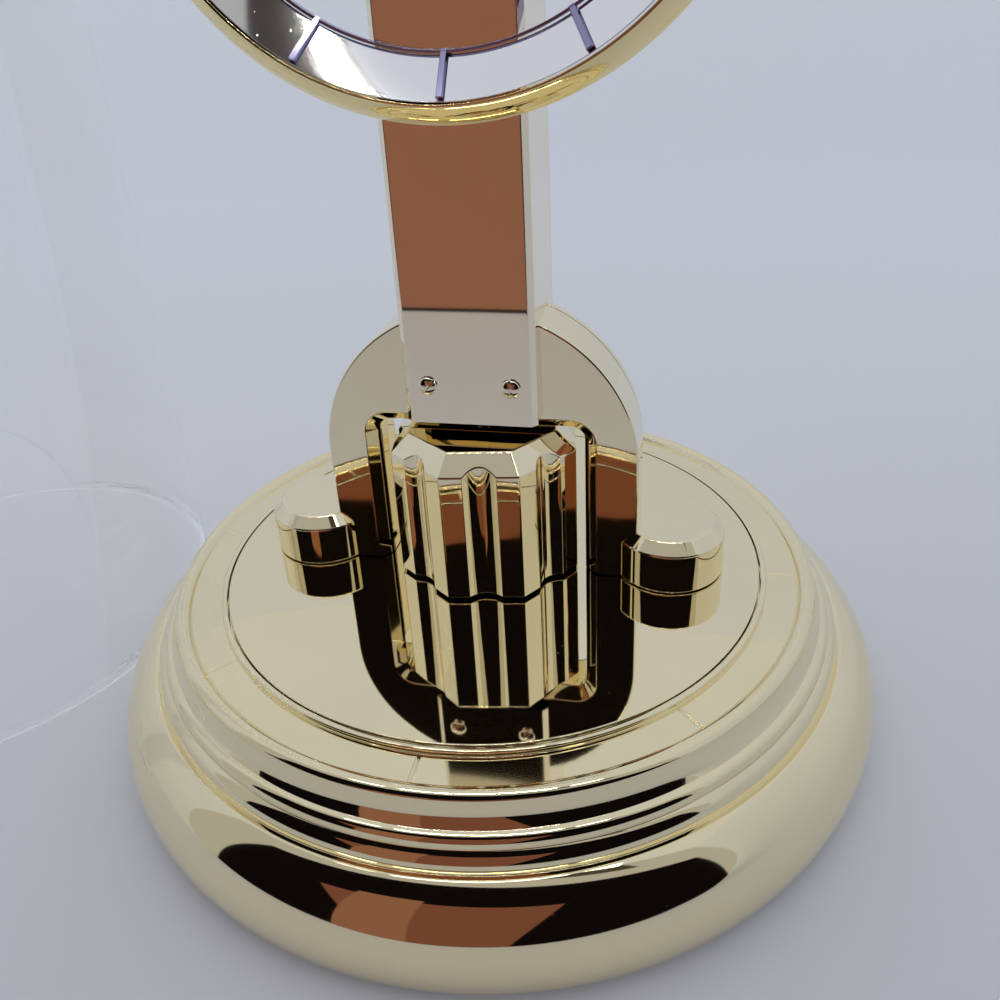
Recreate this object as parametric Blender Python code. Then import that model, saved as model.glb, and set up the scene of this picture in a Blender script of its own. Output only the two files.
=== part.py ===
"""Anniversary clock: a turning pendulum under an arch, a skeleton dial on a pillar, and a glass dome.

Metres, +Z up. The origin is the centre of the bottom cover's flat outer face, on the
axis of the round base and of the pendulum. The dial faces -Y, and the dome stands
beside the clock at -X.
"""
import math

import bmesh
import bpy
from mathutils import Matrix, Vector

for old in list(bpy.data.objects):
    bpy.data.objects.remove(old, do_unlink=True)

# Fits
GAP = 0.0003            # between pieces that touch
RUN = 0.0002            # radial clearance of a shaft that turns in a bore
OVERRUN = 0.0010        # how far a cutter passes the face it cuts
MERGE = 0.00001         # doubles closer than this are one point

# Base shell, widths outwards from the mirror disc, heights measured from the dome's seat
SEAT_Z = 0.0279
SHELL_WALL = 0.0014
SKIRT_DROP = 0.0283
SKIRT_TURN_DROP = 0.0252
SKIRT_BOW = 0.0017
SKIRT_WIDTH = 0.0079
LIP_WIDTH = 0.0016
LIP_DROP = 0.0100
LOW_BEAD_WIDTH = 0.0019
LOW_BEAD_DROP = 0.0104
HIGH_BEAD_WIDTH = 0.0018
HIGH_BEAD_DROP = 0.0068
BEAD_BOW = 0.0006
COVE_WIDTH = 0.0016
COVE_DROP = 0.0044
COVE_BOW = 0.0004
RIM_WIDTH = 0.0034
RIM_FOOT = 0.0005
RIM_RISE = 0.0012
SEAT_WIDTH = 0.0064
INNER_BEAD_WIDTH = 0.0012
INNER_BEAD_BOW = 0.0007
LEDGE_REACH = 0.0030

# Mirror disc that the arch stands on
DISC_R = 0.0600
DISC_RISE = 0.0012
DISC_THICK = 0.0020
DISC_EDGE = 0.0003

# Bottom cover, feet and battery door
COVER_THICK = 0.0020
FOOT_PAD_R = 0.0060
FOOT_PAD_INSET = 0.0126
FOOT_PAD_HEIGHT = 0.0026
FOOT_PAD_EDGE_SHARE = 0.25
DOOR_ROOM = 0.00345         # past the cell at each end
DOOR_LUG_REACH = 0.0030
DOOR_LUG_HALF_ANGLE = math.radians(9.0)
DOOR_TURN = math.radians(40.0)
COIN_SLOT_LENGTH = 0.0200
COIN_SLOT_WIDTH = 0.0022
COIN_SLOT_DEPTH = 0.0009

# Chassis and what it holds inside the base
CHASSIS_ROOM = 0.0010       # between the chassis and the shell's ledge
CHASSIS_THICK = 0.0020
BOSS_R = 0.0040
COVER_SCREW_ANGLES = (math.radians(90.0), math.radians(200.0), math.radians(270.0))
CELL_INSET = 0.0180         # of the cell's axis from the chassis's edge
CELL_R = 0.00725
CELL_LENGTH = 0.0505
CELL_TIP_R = 0.0026
CELL_TIP = 0.0012
CELL_Z = 0.0132
TROUGH_WALL = 0.0015
TROUGH_REACH = 0.0040
CONTACT_THICK = 0.0005
CONTACT_HALF = 0.0045
BOARD_HALF_X = 0.0180
BOARD_HALF_Y = 0.0130
BOARD_THICK = 0.0016
BOARD_POST = 0.0050
BOARD_POST_R = 0.0018
BOARD_POST_INSET = 0.0030
COIL_R = 0.0042
COIL_CORE_R = 0.0014
COIL_X = 0.0090

# Arch that carries the pillar, heights measured from the dome's seat
ARCH_LEG = 0.0088
ARCH_HALF_DEPTH = 0.0070
ARCH_CENTRE = 0.0287
OPENING_CORNER = 0.0055
OPENING_BEVEL = 0.0026
ARCH_WALL = 0.0016
ARCH_BACK_THICK = 0.0020
ARCH_SHOE = 0.0060
ARCH_SCREW_INSET = 0.0030
ARCH_SCREW_Y = -0.0024

# Round feet at the sides of the arch
SIDE_FOOT_OFFSET = 0.0064   # of the foot's axis past the arch
SIDE_FOOT_R = 0.0120
SIDE_FOOT_TOP = 0.0129
SIDE_FOOT_CHAMFER = 0.0024
SIDE_FOOT_SCREW_SHARE = 0.15

# Pillar
PILLAR_HALF = 0.01373
PILLAR_PROUD = 0.0041       # in front of the arch
PILLAR_REAR = 0.0055        # behind the arch
PILLAR_FOOT = 0.0391
PILLAR_WALL = 0.0014
PILLAR_CHAMFER = 0.0012
PILLAR_BLOCK = 0.0100
PILLAR_SCREW_INSET = 0.00517
PILLAR_SCREW_RISE = 0.0474
PILLAR_SCREW_HEAD_R = 0.0020

# Screws of the whole clock
SCREW_R = 0.0012
SCREW_HEAD_R = 0.0022
SCREW_HEAD = 0.0011
SLOT_WIDTH = 0.0005
SLOT_DEPTH = 0.0005

# Lead from the battery to the movement
LEAD_R = 0.0007
LEAD_HOLE_R = 0.0015
LEAD_Y = 0.0025
LEAD_BEND = [math.radians(angle) for angle in (150.0, 130.0, 112.0, 98.0)]

# Pendulum, heights measured from the dome's seat
PENDULUM_R = 0.0213
PENDULUM_SIDE_ROOM = 0.0037
PENDULUM_HEADROOM = 0.0036
PENDULUM_FOOT = 0.0020
PENDULUM_TOP = 0.0353
PENDULUM_CHAMFER = 0.0040
PENDULUM_FACE_ANGLE = math.radians(-81.5)
FLUTE_WIDTH = 0.0070
FLUTE_DEPTH = 0.0016
PENDULUM_WALL = 0.0068
PENDULUM_LID = 0.0105
PENDULUM_PLATE = 0.0015
MAGNET_INSET = 0.0025
MAGNET_HEIGHT = 0.0030
SHAFT_R = 0.0015
PIN_R = 0.0008
BUSH_R = 0.0030
BUSH_DEPTH = 0.0084
BUSH_FLOOR = 0.0010
HANGER_R = 0.0020
HANGER_FLANGE = 0.0009

# Dial, with its centre's height measured from the dome's seat
DIAL_CENTRE = 0.1539
RING_INNER_R = 0.0444
CONE_WIDTH = 0.0070
BEZEL_WIDTH = 0.0043
RIDGE_FORWARD = 0.0063
RING_LIP = 0.0006
BEZEL_EDGE = 0.0024
BEZEL_LAND = 0.0005
MARKER_WIDTH = 0.0015
MARKER_HEIGHT = 0.0006
MARKER_END_SHARE = 0.07
DIAL_SCREW_X = 0.0060

# Movement drum behind the dial's centre
DRUM_ROOM = 0.0080          # from the module's side to the drum's outside
DRUM_WALL = 0.0014
MODULE_HALF = 0.0140
MODULE_BACK_GAP = 0.0010
MODULE_DEPTH = 0.0120
MODULE_CORNER = 0.0030
POST_R = 0.0008
CANNON_R = 0.0015
HOUR_TUBE_R = 0.0026
GEAR_THICK = 0.0013
GEAR_DISTANCE = 0.0100
MINUTE_PINION_TEETH = 12
MINUTE_WHEEL_TEETH = 36
HOUR_PINION_TEETH = 10
HOUR_WHEEL_TEETH = 40
TOOTH_TIP_SHARE = 0.80
TOOTH_ROOT_SHARE = 1.10
TOOTH_HALF_SHARES = (0.10, 0.26)   # half widths at tip and root, in tooth steps
KNOB_R = 0.0055
KNOB_LENGTH = 0.0050
KNOB_EDGE = 0.0008

# Hands
HOUR_HAND_LENGTH = 0.0280
MINUTE_HAND_LENGTH = 0.0405
HAND_THICK = 0.0007
HAND_HALF_WIDTH = 0.0019
HAND_TAIL_SHARE = 0.22
HAND_WIDEST_SHARE = 0.55
HAND_SPACING = 0.0030
HOUR_HAND_FORWARD = 0.0036
HOUR_HAND_ANGLE = math.radians(-55.0)
MINUTE_HAND_ANGLE = math.radians(60.0)
NUT_R = 0.0026
NUT_LENGTH = 0.0016

# Glass dome, beside the clock
DOME_SEAT_ROOM = 0.0002     # round the inner bead
DOME_WALL = 0.0019
DOME_HEIGHT = 0.2300
DOME_CLEARANCE = 0.0010

# How finely round pieces are faceted
ROUND = 48
MEDIUM = 24
SMALL = 12
ARCH_STEPS = 16
DOME_STEPS = 7

# Radii of the base, outwards from the disc
INNER_BEAD_R = DISC_R + GAP + INNER_BEAD_WIDTH
SEAT_R = INNER_BEAD_R + SEAT_WIDTH
RIM_R = SEAT_R + RIM_WIDTH
COVE_R = RIM_R + COVE_WIDTH
HIGH_BEAD_R = COVE_R + HIGH_BEAD_WIDTH
LOW_BEAD_R = HIGH_BEAD_R + LOW_BEAD_WIDTH
LIP_R = LOW_BEAD_R + LIP_WIDTH
BASE_R = LIP_R + SKIRT_WIDTH
LEDGE_R = DISC_R - LEDGE_REACH
CHASSIS_R = LEDGE_R - CHASSIS_ROOM
COVER_SCREW_CIRCLE_R = CHASSIS_R - BOSS_R
FOOT_PAD_CIRCLE_R = BASE_R - FOOT_PAD_INSET
DOOR_X = CHASSIS_R - CELL_INSET
DOOR_R = CELL_LENGTH / 2.0 + DOOR_ROOM
DOME_R = INNER_BEAD_R + DOME_SEAT_ROOM + DOME_WALL

# Sizes round the pendulum, the pillar, the dial and the movement
OPENING_HALF = PENDULUM_R + PENDULUM_SIDE_ROOM
OPENING_TOP = PENDULUM_TOP + PENDULUM_HEADROOM
ARCH_R = OPENING_HALF + ARCH_LEG
ARCH_SCREW_X = OPENING_HALF + ARCH_SCREW_INSET
SIDE_FOOT_X = ARCH_R + SIDE_FOOT_OFFSET
PENDULUM_BORE_R = PENDULUM_R - PENDULUM_WALL
MAGNET_R = PENDULUM_BORE_R - MAGNET_INSET
PILLAR_FRONT = ARCH_HALF_DEPTH + PILLAR_PROUD
PILLAR_DEPTH = PILLAR_FRONT + ARCH_HALF_DEPTH + PILLAR_REAR
PILLAR_SCREW_X = PILLAR_HALF - PILLAR_SCREW_INSET
RIDGE_R = RING_INNER_R + CONE_WIDTH
RING_OUTER_R = RIDGE_R + BEZEL_WIDTH
DRUM_R = MODULE_HALF + DRUM_ROOM

# Heights above the bottom cover
MIRROR_Z = SEAT_Z + DISC_RISE
CHASSIS_TOP = MIRROR_Z - DISC_THICK - GAP
CHASSIS_LOW = CHASSIS_TOP - CHASSIS_THICK
ARCH_FOOT = MIRROR_Z + GAP
ARCH_Z = SEAT_Z + ARCH_CENTRE
OPENING_Z = SEAT_Z + OPENING_TOP
THROAT_Z = OPENING_Z - OPENING_BEVEL
DIAL_Z = SEAT_Z + DIAL_CENTRE
MINUTE_HAND_FORWARD = HOUR_HAND_FORWARD + HAND_SPACING
TABLE_Z = -FOOT_PAD_HEIGHT


def material(name, colour, metallic, roughness, alpha=1.0):
    """A plain Principled material."""
    made = bpy.data.materials.new(name)
    made.use_nodes = True
    shader = made.node_tree.nodes["Principled BSDF"]
    shader.inputs["Base Color"].default_value = (*colour, 1.0)
    shader.inputs["Metallic"].default_value = metallic
    shader.inputs["Roughness"].default_value = roughness
    shader.inputs["Alpha"].default_value = alpha
    made.diffuse_color = (*colour, alpha)
    return made


GOLD = ((0.94, 0.80, 0.48), 1.0, 0.08)
SILVER = ((0.90, 0.90, 0.92), 1.0, 0.10)
MIRROR = ((0.92, 0.86, 0.70), 1.0, 0.04)
STEEL = ((0.60, 0.60, 0.62), 1.0, 0.30)
BRASS = ((0.80, 0.60, 0.28), 1.0, 0.25)
COPPER = ((0.80, 0.42, 0.22), 1.0, 0.35)
BLACK = ((0.03, 0.03, 0.03), 0.0, 0.45)
RUBBER = ((0.05, 0.05, 0.05), 0.0, 0.85)
GREEN = ((0.05, 0.25, 0.10), 0.0, 0.50)
LAVENDER = ((0.55, 0.53, 0.72), 1.0, 0.20)
GLASS = ((0.95, 0.97, 0.98), 0.0, 0.02, 0.3)


def finish(bm, name, look=None, parent=None, at=(0.0, 0.0, 0.0), sharp=math.radians(30.0)):
    """Turn a bmesh into an object; without a look it is a hidden tool for a Boolean."""
    bmesh.ops.remove_doubles(bm, verts=bm.verts, dist=MERGE)
    bmesh.ops.recalc_face_normals(bm, faces=bm.faces)
    mesh = bpy.data.meshes.new(name)
    bm.to_mesh(mesh)
    bm.free()
    mesh.shade_smooth()
    mesh.set_sharp_from_angle(angle=sharp)
    obj = bpy.data.objects.new(name, mesh)
    bpy.context.scene.collection.objects.link(obj)
    obj.parent = parent
    obj.location = at
    if look is None:
        obj.hide_render = True
        obj.display_type = "WIRE"
    else:
        mesh.materials.append(material(name, *look))
    return obj


def empty(name, at, turn=(0.0, 0.0, 0.0)):
    """A joint's axis, or the frame that a group of pieces is drawn in."""
    obj = bpy.data.objects.new(name, None)
    bpy.context.scene.collection.objects.link(obj)
    obj.location = at
    obj.rotation_euler = turn
    return obj


def add_turned(bm, outline, steps, place=Matrix()):
    """Spin (radius, height) points round Z: a ring, or a solid if the ends lie on the axis.

    A flat end is closed by one face instead of a fan of triangles.
    """
    old_verts = set(bm.verts)
    points = list(outline)
    is_ring = points[0][0] > 0.0
    if not is_ring and points[0][1] == points[1][1]:
        points = points[1:]
    if not is_ring and points[-1][1] == points[-2][1]:
        points = points[:-1]
    verts = [bm.verts.new((radius, 0.0, height)) for radius, height in points]
    pairs = list(zip(verts, verts[1:]))
    if is_ring:
        pairs.append((verts[-1], verts[0]))
    edges = [bm.edges.new(pair) for pair in pairs]
    bmesh.ops.spin(bm, geom=verts + edges, cent=(0.0, 0.0, 0.0), axis=(0.0, 0.0, 1.0),
                   angle=math.tau, steps=steps, use_merge=True)
    bmesh.ops.remove_doubles(bm, verts=[v for v in bm.verts if v not in old_verts], dist=MERGE)
    bmesh.ops.holes_fill(bm, edges=[edge for edge in bm.edges if edge.is_boundary], sides=0)
    bmesh.ops.transform(bm, matrix=place, verts=[v for v in bm.verts if v not in old_verts])


def add_loft(bm, rings):
    """Join rings of equal point counts with side faces, and cap both ends."""
    rows = [[bm.verts.new(point) for point in ring] for ring in rings]
    count = len(rows[0])
    for low, high in zip(rows, rows[1:]):
        for index in range(count):
            after = (index + 1) % count
            bm.faces.new((low[index], low[after], high[after], high[index]))
    bm.faces.new(rows[0])
    bm.faces.new(rows[-1])


def turned(name, outline, steps, look=None, parent=None, at=(0.0, 0.0, 0.0)):
    """One turned piece."""
    bm = bmesh.new()
    add_turned(bm, outline, steps)
    return finish(bm, name, look, parent, at)


def turned_group(name, outline, steps, places, parent=None):
    """Like turned shapes at several places, as one hidden tool."""
    bm = bmesh.new()
    for place in places:
        add_turned(bm, outline, steps, place)
    return finish(bm, name, parent=parent)


def turned_each(name, outline, steps, places, look, parent=None):
    """Like turned pieces at several places, each an object of its own."""
    made = []
    for number, place in enumerate(places, 1):
        piece = turned(f"{name}_{number}", outline, steps, look, parent)
        piece.matrix_local = place
        made.append(piece)
    return made


def loft(name, rings, look=None, parent=None, at=(0.0, 0.0, 0.0)):
    """One lofted piece."""
    bm = bmesh.new()
    add_loft(bm, rings)
    return finish(bm, name, look, parent, at)


def box_rings(low, high):
    """The two rings of a box between opposite corners."""
    (x0, y0, z0), (x1, y1, z1) = low, high
    return [[(x0, y0, z), (x1, y0, z), (x1, y1, z), (x0, y1, z)] for z in (z0, z1)]


def boxes(name, corners, look=None, parent=None):
    """Boxes between pairs of opposite corners, as one object."""
    bm = bmesh.new()
    for low, high in corners:
        add_loft(bm, box_rings(low, high))
    return finish(bm, name, look, parent)


def rod(radius, low, high):
    """The outline of a plain round rod."""
    return [(0.0, low), (radius, low), (radius, high), (0.0, high)]


def pipe(inner, outer, low, high):
    """The outline of a plain tube."""
    return [(inner, low), (outer, low), (outer, high), (inner, high)]


def bow(start, end, rise, count):
    """Points from start to just before end on a parabola that rises to the left of the way."""
    (r0, z0), (r1, z1) = start, end
    points = []
    for index in range(count):
        share = index / count
        lift = 4.0 * rise * share * (1.0 - share) / math.hypot(r1 - r0, z1 - z0)
        points.append((r0 + (r1 - r0) * share - (z1 - z0) * lift,
                       z0 + (z1 - z0) * share + (r1 - r0) * lift))
    return points


def apply_boolean(obj, tool, operation):
    """Add a live Boolean with a hidden tool."""
    tool.hide_render = True
    tool.display_type = "WIRE"
    modifier = obj.modifiers.new(tool.name, "BOOLEAN")
    modifier.operation = operation
    modifier.object = tool


def cut(obj, *tools):
    """Cut hidden tools out of a piece."""
    for tool in tools:
        apply_boolean(obj, tool, "DIFFERENCE")


def fuse(obj, *tools):
    """Add hidden tools to a piece."""
    for tool in tools:
        apply_boolean(obj, tool, "UNION")


def spot(x, y, z, turn=0.0, axis="X"):
    """A place, with an optional turn about one axis."""
    return Matrix.Translation((x, y, z)) @ Matrix.Rotation(turn, 4, axis)


def screw_outline(head_r, length):
    """A cheese-head screw whose head sits on height zero and whose shank hangs below."""
    return [(0.0, -length), (SCREW_R, -length), (SCREW_R, 0.0), (head_r, 0.0),
            (head_r, SCREW_HEAD), (0.0, SCREW_HEAD)]


def screws(name, places, head_r, length, look, parent=None, slotted=False):
    """A screw at each place, with a slot across its head where it is turned from outside."""
    made = turned_each(name, screw_outline(head_r, length), SMALL, places, look, parent)
    low = (-head_r - OVERRUN, -SLOT_WIDTH / 2.0, SCREW_HEAD - SLOT_DEPTH)
    high = (head_r + OVERRUN, SLOT_WIDTH / 2.0, SCREW_HEAD + OVERRUN)
    for piece, place in zip(made, places if slotted else ()):
        slot = boxes(piece.name + "_slot", [(low, high)], parent=parent)
        slot.matrix_local = place
        cut(piece, slot)


def holes(name, places, radius, low, high):
    """The cutter of round holes at these places."""
    return turned_group(name, rod(radius, low, high), SMALL, places)


# Base shell: one turned and polished metal skin with a ledge for the mirror disc

def base_shell():
    """Seat, rim, cove, two beads, lip and skirt, turned in one."""
    bottom = SEAT_Z - SKIRT_DROP
    turn = (BASE_R, SEAT_Z - SKIRT_TURN_DROP)
    lip = (LIP_R, SEAT_Z - LIP_DROP)
    low_bead = (LOW_BEAD_R, SEAT_Z - LOW_BEAD_DROP)
    high_bead = (HIGH_BEAD_R, SEAT_Z - HIGH_BEAD_DROP)
    cove = (COVE_R, SEAT_Z - COVE_DROP)
    rim_foot = (RIM_R, SEAT_Z + RIM_FOOT)
    seat_edge = (SEAT_R, SEAT_Z)
    bead_edge = (INNER_BEAD_R, SEAT_Z)
    disc_edge = (DISC_R + GAP, MIRROR_Z)
    ledge_top = MIRROR_Z - DISC_THICK - GAP
    outside = [(BASE_R, bottom)] + bow(turn, lip, -SKIRT_BOW, 4) + [lip]
    outside += bow(low_bead, high_bead, -BEAD_BOW, 2)
    outside += bow(high_bead, cove, -BEAD_BOW, 2)
    outside += bow(cove, rim_foot, COVE_BOW, 2)
    outside += bow(rim_foot, seat_edge, -RIM_RISE, 4) + [seat_edge]
    outside += bow(bead_edge, disc_edge, -INNER_BEAD_BOW, 2)
    outside += [disc_edge, (DISC_R + GAP, ledge_top), (LEDGE_R, ledge_top)]
    under = ledge_top - SHELL_WALL
    neck = RIM_R - SHELL_WALL
    inside = [(LEDGE_R, under), (neck, under), (COVE_R - SHELL_WALL, cove[1] - SHELL_WALL),
              (LOW_BEAD_R - 2.0 * SHELL_WALL, low_bead[1] - SHELL_WALL),
              (LIP_R - SHELL_WALL, lip[1] - 2.0 * SHELL_WALL)]
    inner_turn = (BASE_R - SHELL_WALL, turn[1])
    inside += bow(inside[-1], inner_turn, SKIRT_BOW, 3)[1:] + [inner_turn]
    inside += [(BASE_R - SHELL_WALL, bottom)]
    return turned("base_shell", outside + inside, ROUND, MIRROR)


# Mirror disc: polished plate on the shell's ledge, drilled for the arch, feet, pivot and lead

def floor_holes(name, low, high):
    """The cutters of every hole that passes through both disc and chassis."""
    foot_x = SIDE_FOOT_X + SIDE_FOOT_R * SIDE_FOOT_SCREW_SHARE
    places = [spot(side * ARCH_SCREW_X, ARCH_SCREW_Y, 0.0) for side in (-1, 1)]
    places += [spot(side * foot_x, 0.0, 0.0) for side in (-1, 1)]
    return [holes(name + "_screws", places, SCREW_R + GAP, low, high),
            holes(name + "_lead", [spot(-ARCH_SCREW_X, LEAD_Y, 0.0)], LEAD_HOLE_R, low, high),
            holes(name + "_pivot", [spot(0.0, 0.0, 0.0)], BUSH_R + GAP, low, high)]


def mirror_disc():
    """Flat polished plate with a fine edge break."""
    low = MIRROR_Z - DISC_THICK
    outline = [(0.0, low), (DISC_R, low), (DISC_R, MIRROR_Z - DISC_EDGE), (DISC_R - DISC_EDGE, MIRROR_Z),
               (0.0, MIRROR_Z)]
    disc = turned("mirror_disc", outline, ROUND, MIRROR)
    cut(disc, *floor_holes("disc_hole", low - OVERRUN, MIRROR_Z + OVERRUN))


# Chassis: moulded tray under the disc that holds the battery, board and coil

def chassis():
    """Round plate with three screw bosses, a battery trough and two board posts."""
    plate = turned("base_chassis", rod(CHASSIS_R, CHASSIS_LOW, CHASSIS_TOP), MEDIUM, BLACK)
    sink = CHASSIS_LOW + GAP
    bosses = holes("chassis_boss", cover_screw_places(), BOSS_R, COVER_THICK + GAP, sink)
    wall_x = CELL_R + GAP
    end_y = CELL_LENGTH / 2.0 + CELL_TIP + CONTACT_THICK + 2.0 * GAP
    side_low = CELL_Z - TROUGH_REACH
    side_y = end_y - CONTACT_THICK - 2.0 * GAP
    walls = []
    for side in (-1, 1):
        x0, x1 = sorted((DOOR_X + side * wall_x, DOOR_X + side * (wall_x + TROUGH_WALL)))
        walls.append(((x0, TROUGH_WALL - side_y, side_low), (x1, -2.0 * BOSS_R, sink)))
        walls.append(((x0, 2.0 * BOSS_R, side_low), (x1, side_y - TROUGH_WALL, sink)))
        y0, y1 = sorted((side * end_y, side * (end_y + TROUGH_WALL)))
        walls.append(((DOOR_X - wall_x, y0, side_low), (DOOR_X + wall_x, y1, sink)))
    trough = boxes("chassis_trough", walls)
    posts = holes("chassis_post", board_post_places(), BOARD_POST_R, CHASSIS_LOW - BOARD_POST, sink)
    fuse(plate, bosses, trough, posts)
    pilots = holes("chassis_pilot", cover_screw_places(), SCREW_R + GAP, 0.0, CHASSIS_LOW - GAP)
    cut(plate, pilots, *floor_holes("chassis_hole", CHASSIS_LOW - OVERRUN, CHASSIS_TOP + OVERRUN))


def cover_screw_places(height=0.0, turn=0.0):
    """Three places round the bottom cover, clear of the battery door."""
    reach = COVER_SCREW_CIRCLE_R
    return [spot(reach * math.cos(a), reach * math.sin(a), height, turn) for a in COVER_SCREW_ANGLES]


def board_post_places():
    """Two opposite corners of the circuit board."""
    x = BOARD_HALF_X - BOARD_POST_INSET
    y = BOARD_HALF_Y - BOARD_POST_INSET
    return [spot(x, y, 0.0), spot(-x, -y, 0.0)]


def electrics():
    """Battery cell, its two leaf contacts, the circuit board, and the coil on its core."""
    half = CELL_LENGTH / 2.0
    lay = Matrix.Translation((DOOR_X, 0.0, CELL_Z)) @ Matrix.Rotation(-math.pi / 2.0, 4, "X")
    cell = [(0.0, -half), (CELL_R, -half), (CELL_R, half), (CELL_TIP_R, half),
            (CELL_TIP_R, half + CELL_TIP), (0.0, half + CELL_TIP)]
    turned("battery_cell", cell, SMALL, STEEL).matrix_local = lay
    for name, y in (("contact_positive", half + CELL_TIP + GAP),
                    ("contact_negative", -half - CELL_TIP - CONTACT_THICK - GAP)):
        low = (DOOR_X - CONTACT_HALF, y, CELL_Z - CONTACT_HALF)
        high = (DOOR_X + CONTACT_HALF, y + CONTACT_THICK, CELL_Z + CONTACT_HALF)
        leaf = boxes(name, [(low, high)], STEEL)
        if name == "contact_negative":
            button = turned_group("contact_button", rod(CELL_TIP_R, 0.0, CELL_TIP), SMALL,
                                  [spot(DOOR_X, y + CONTACT_THICK / 2.0, CELL_Z, -math.pi / 2.0)])
            fuse(leaf, button)
    board_top = CHASSIS_LOW - BOARD_POST - GAP
    boxes("circuit_board", [((-BOARD_HALF_X, -BOARD_HALF_Y, board_top - BOARD_THICK),
                             (BOARD_HALF_X, BOARD_HALF_Y, board_top))], GREEN)
    low, high = board_top + GAP, CHASSIS_LOW - GAP
    turned("drive_coil", pipe(COIL_CORE_R, COIL_R, low, high), SMALL, COPPER, at=(COIL_X, 0.0, 0.0))
    turned("coil_core", rod(COIL_CORE_R - GAP, low, high), SMALL, STEEL, at=(COIL_X, 0.0, 0.0))


# Bottom cover, its screws, feet and battery door

def bottom_cover():
    """Moulded disc with a bayonet hole for the battery door."""
    cover_r = BASE_R - SHELL_WALL - GAP
    cover = turned("bottom_cover", rod(cover_r, 0.0, COVER_THICK), ROUND, BLACK)
    mouth = turned("door_mouth", rod(DOOR_R + GAP, -OVERRUN, COVER_THICK + OVERRUN), MEDIUM,
                   at=(DOOR_X, 0.0, 0.0))
    notches = door_lugs("door_notches", DOOR_TURN, -OVERRUN, COVER_THICK + OVERRUN, 2.0 * GAP)
    notches.location = (DOOR_X, 0.0, 0.0)
    screw_holes = holes("cover_screw_holes", cover_screw_places(), SCREW_R + GAP, -OVERRUN,
                        COVER_THICK + OVERRUN)
    sinks = holes("cover_screw_sinks", cover_screw_places(), SCREW_HEAD_R + GAP,
                  -OVERRUN, SCREW_HEAD)
    cut(cover, mouth, notches, screw_holes, sinks)
    screws("bottom_screw", cover_screw_places(SCREW_HEAD - GAP, math.pi), SCREW_HEAD_R,
           CHASSIS_LOW / 2.0, STEEL, slotted=True)


def rubber_feet():
    """Four stuck-on pads that the clock stands on."""
    edge = FOOT_PAD_HEIGHT * FOOT_PAD_EDGE_SHARE
    outline = [(0.0, TABLE_Z), (FOOT_PAD_R - edge, TABLE_Z), (FOOT_PAD_R, TABLE_Z + edge),
               (FOOT_PAD_R, -GAP), (0.0, -GAP)]
    places = []
    for index in range(4):
        angle = math.radians(45.0 + 90.0 * index)
        places.append(spot(FOOT_PAD_CIRCLE_R * math.cos(angle), FOOT_PAD_CIRCLE_R * math.sin(angle), 0.0))
    turned_each("rubber_foot", outline, SMALL, places, RUBBER)


def door_lugs(name, turn, low, high, ease):
    """Three sector lugs round the battery door, widened by an ease for the notches."""
    bm = bmesh.new()
    inner = DOOR_R - DOOR_LUG_REACH
    outer = DOOR_R + DOOR_LUG_REACH + ease
    half = DOOR_LUG_HALF_ANGLE + ease / DOOR_R
    for index in range(3):
        middle = turn + math.tau * index / 3.0
        angles = [middle - half, middle, middle + half]
        ring = [(inner * math.cos(a), inner * math.sin(a)) for a in angles]
        ring += [(outer * math.cos(a), outer * math.sin(a)) for a in reversed(angles)]
        add_loft(bm, [[(x, y, z) for x, y in ring] for z in (low, high)])
    return finish(bm, name)


def battery_door():
    """Round door that turns on its own axis: a plate, a raised ring, lugs and a coin slot."""
    axis = empty("battery_door_axis", (DOOR_X, 0.0, 0.0))
    ring_r = DOOR_R - DOOR_LUG_REACH
    lug_low = COVER_THICK + GAP
    lug_high = lug_low + COVER_THICK / 2.0
    outline = [(0.0, 0.0), (DOOR_R, 0.0), (DOOR_R, lug_low), (ring_r + GAP, lug_low),
               (ring_r + GAP, lug_high), (ring_r - COVER_THICK, lug_high),
               (ring_r - COVER_THICK, COVER_THICK), (0.0, COVER_THICK)]
    door = turned("battery_door", outline, MEDIUM, BLACK, axis)
    lugs = door_lugs("door_lugs", 0.0, lug_low, lug_high, 0.0)
    lugs.parent = axis
    fuse(door, lugs)
    half = COIN_SLOT_LENGTH / 2.0
    slot = boxes("coin_slot", [((-half, -COIN_SLOT_WIDTH / 2.0, -OVERRUN),
                                (half, COIN_SLOT_WIDTH / 2.0, COIN_SLOT_DEPTH))], parent=axis)
    cut(door, slot)


# Arch: a cast front shell and a flat back, open below for the turning pendulum

def arch_outline(y, outer_r, half, top, corner, foot):
    """One section of the arch in the plane y: legs, half circle and cornered opening."""
    ring = [(-outer_r, foot)]
    for index in range(ARCH_STEPS + 1):
        angle = math.pi - math.pi * index / ARCH_STEPS
        ring.append((outer_r * math.cos(angle), ARCH_Z + outer_r * math.sin(angle)))
    ring += [(outer_r, foot), (half, foot), (half, top - corner), (half - corner, top),
             (corner - half, top), (-half, top - corner), (-half, foot)]
    return [(x, y, z) for x, z in ring]


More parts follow.
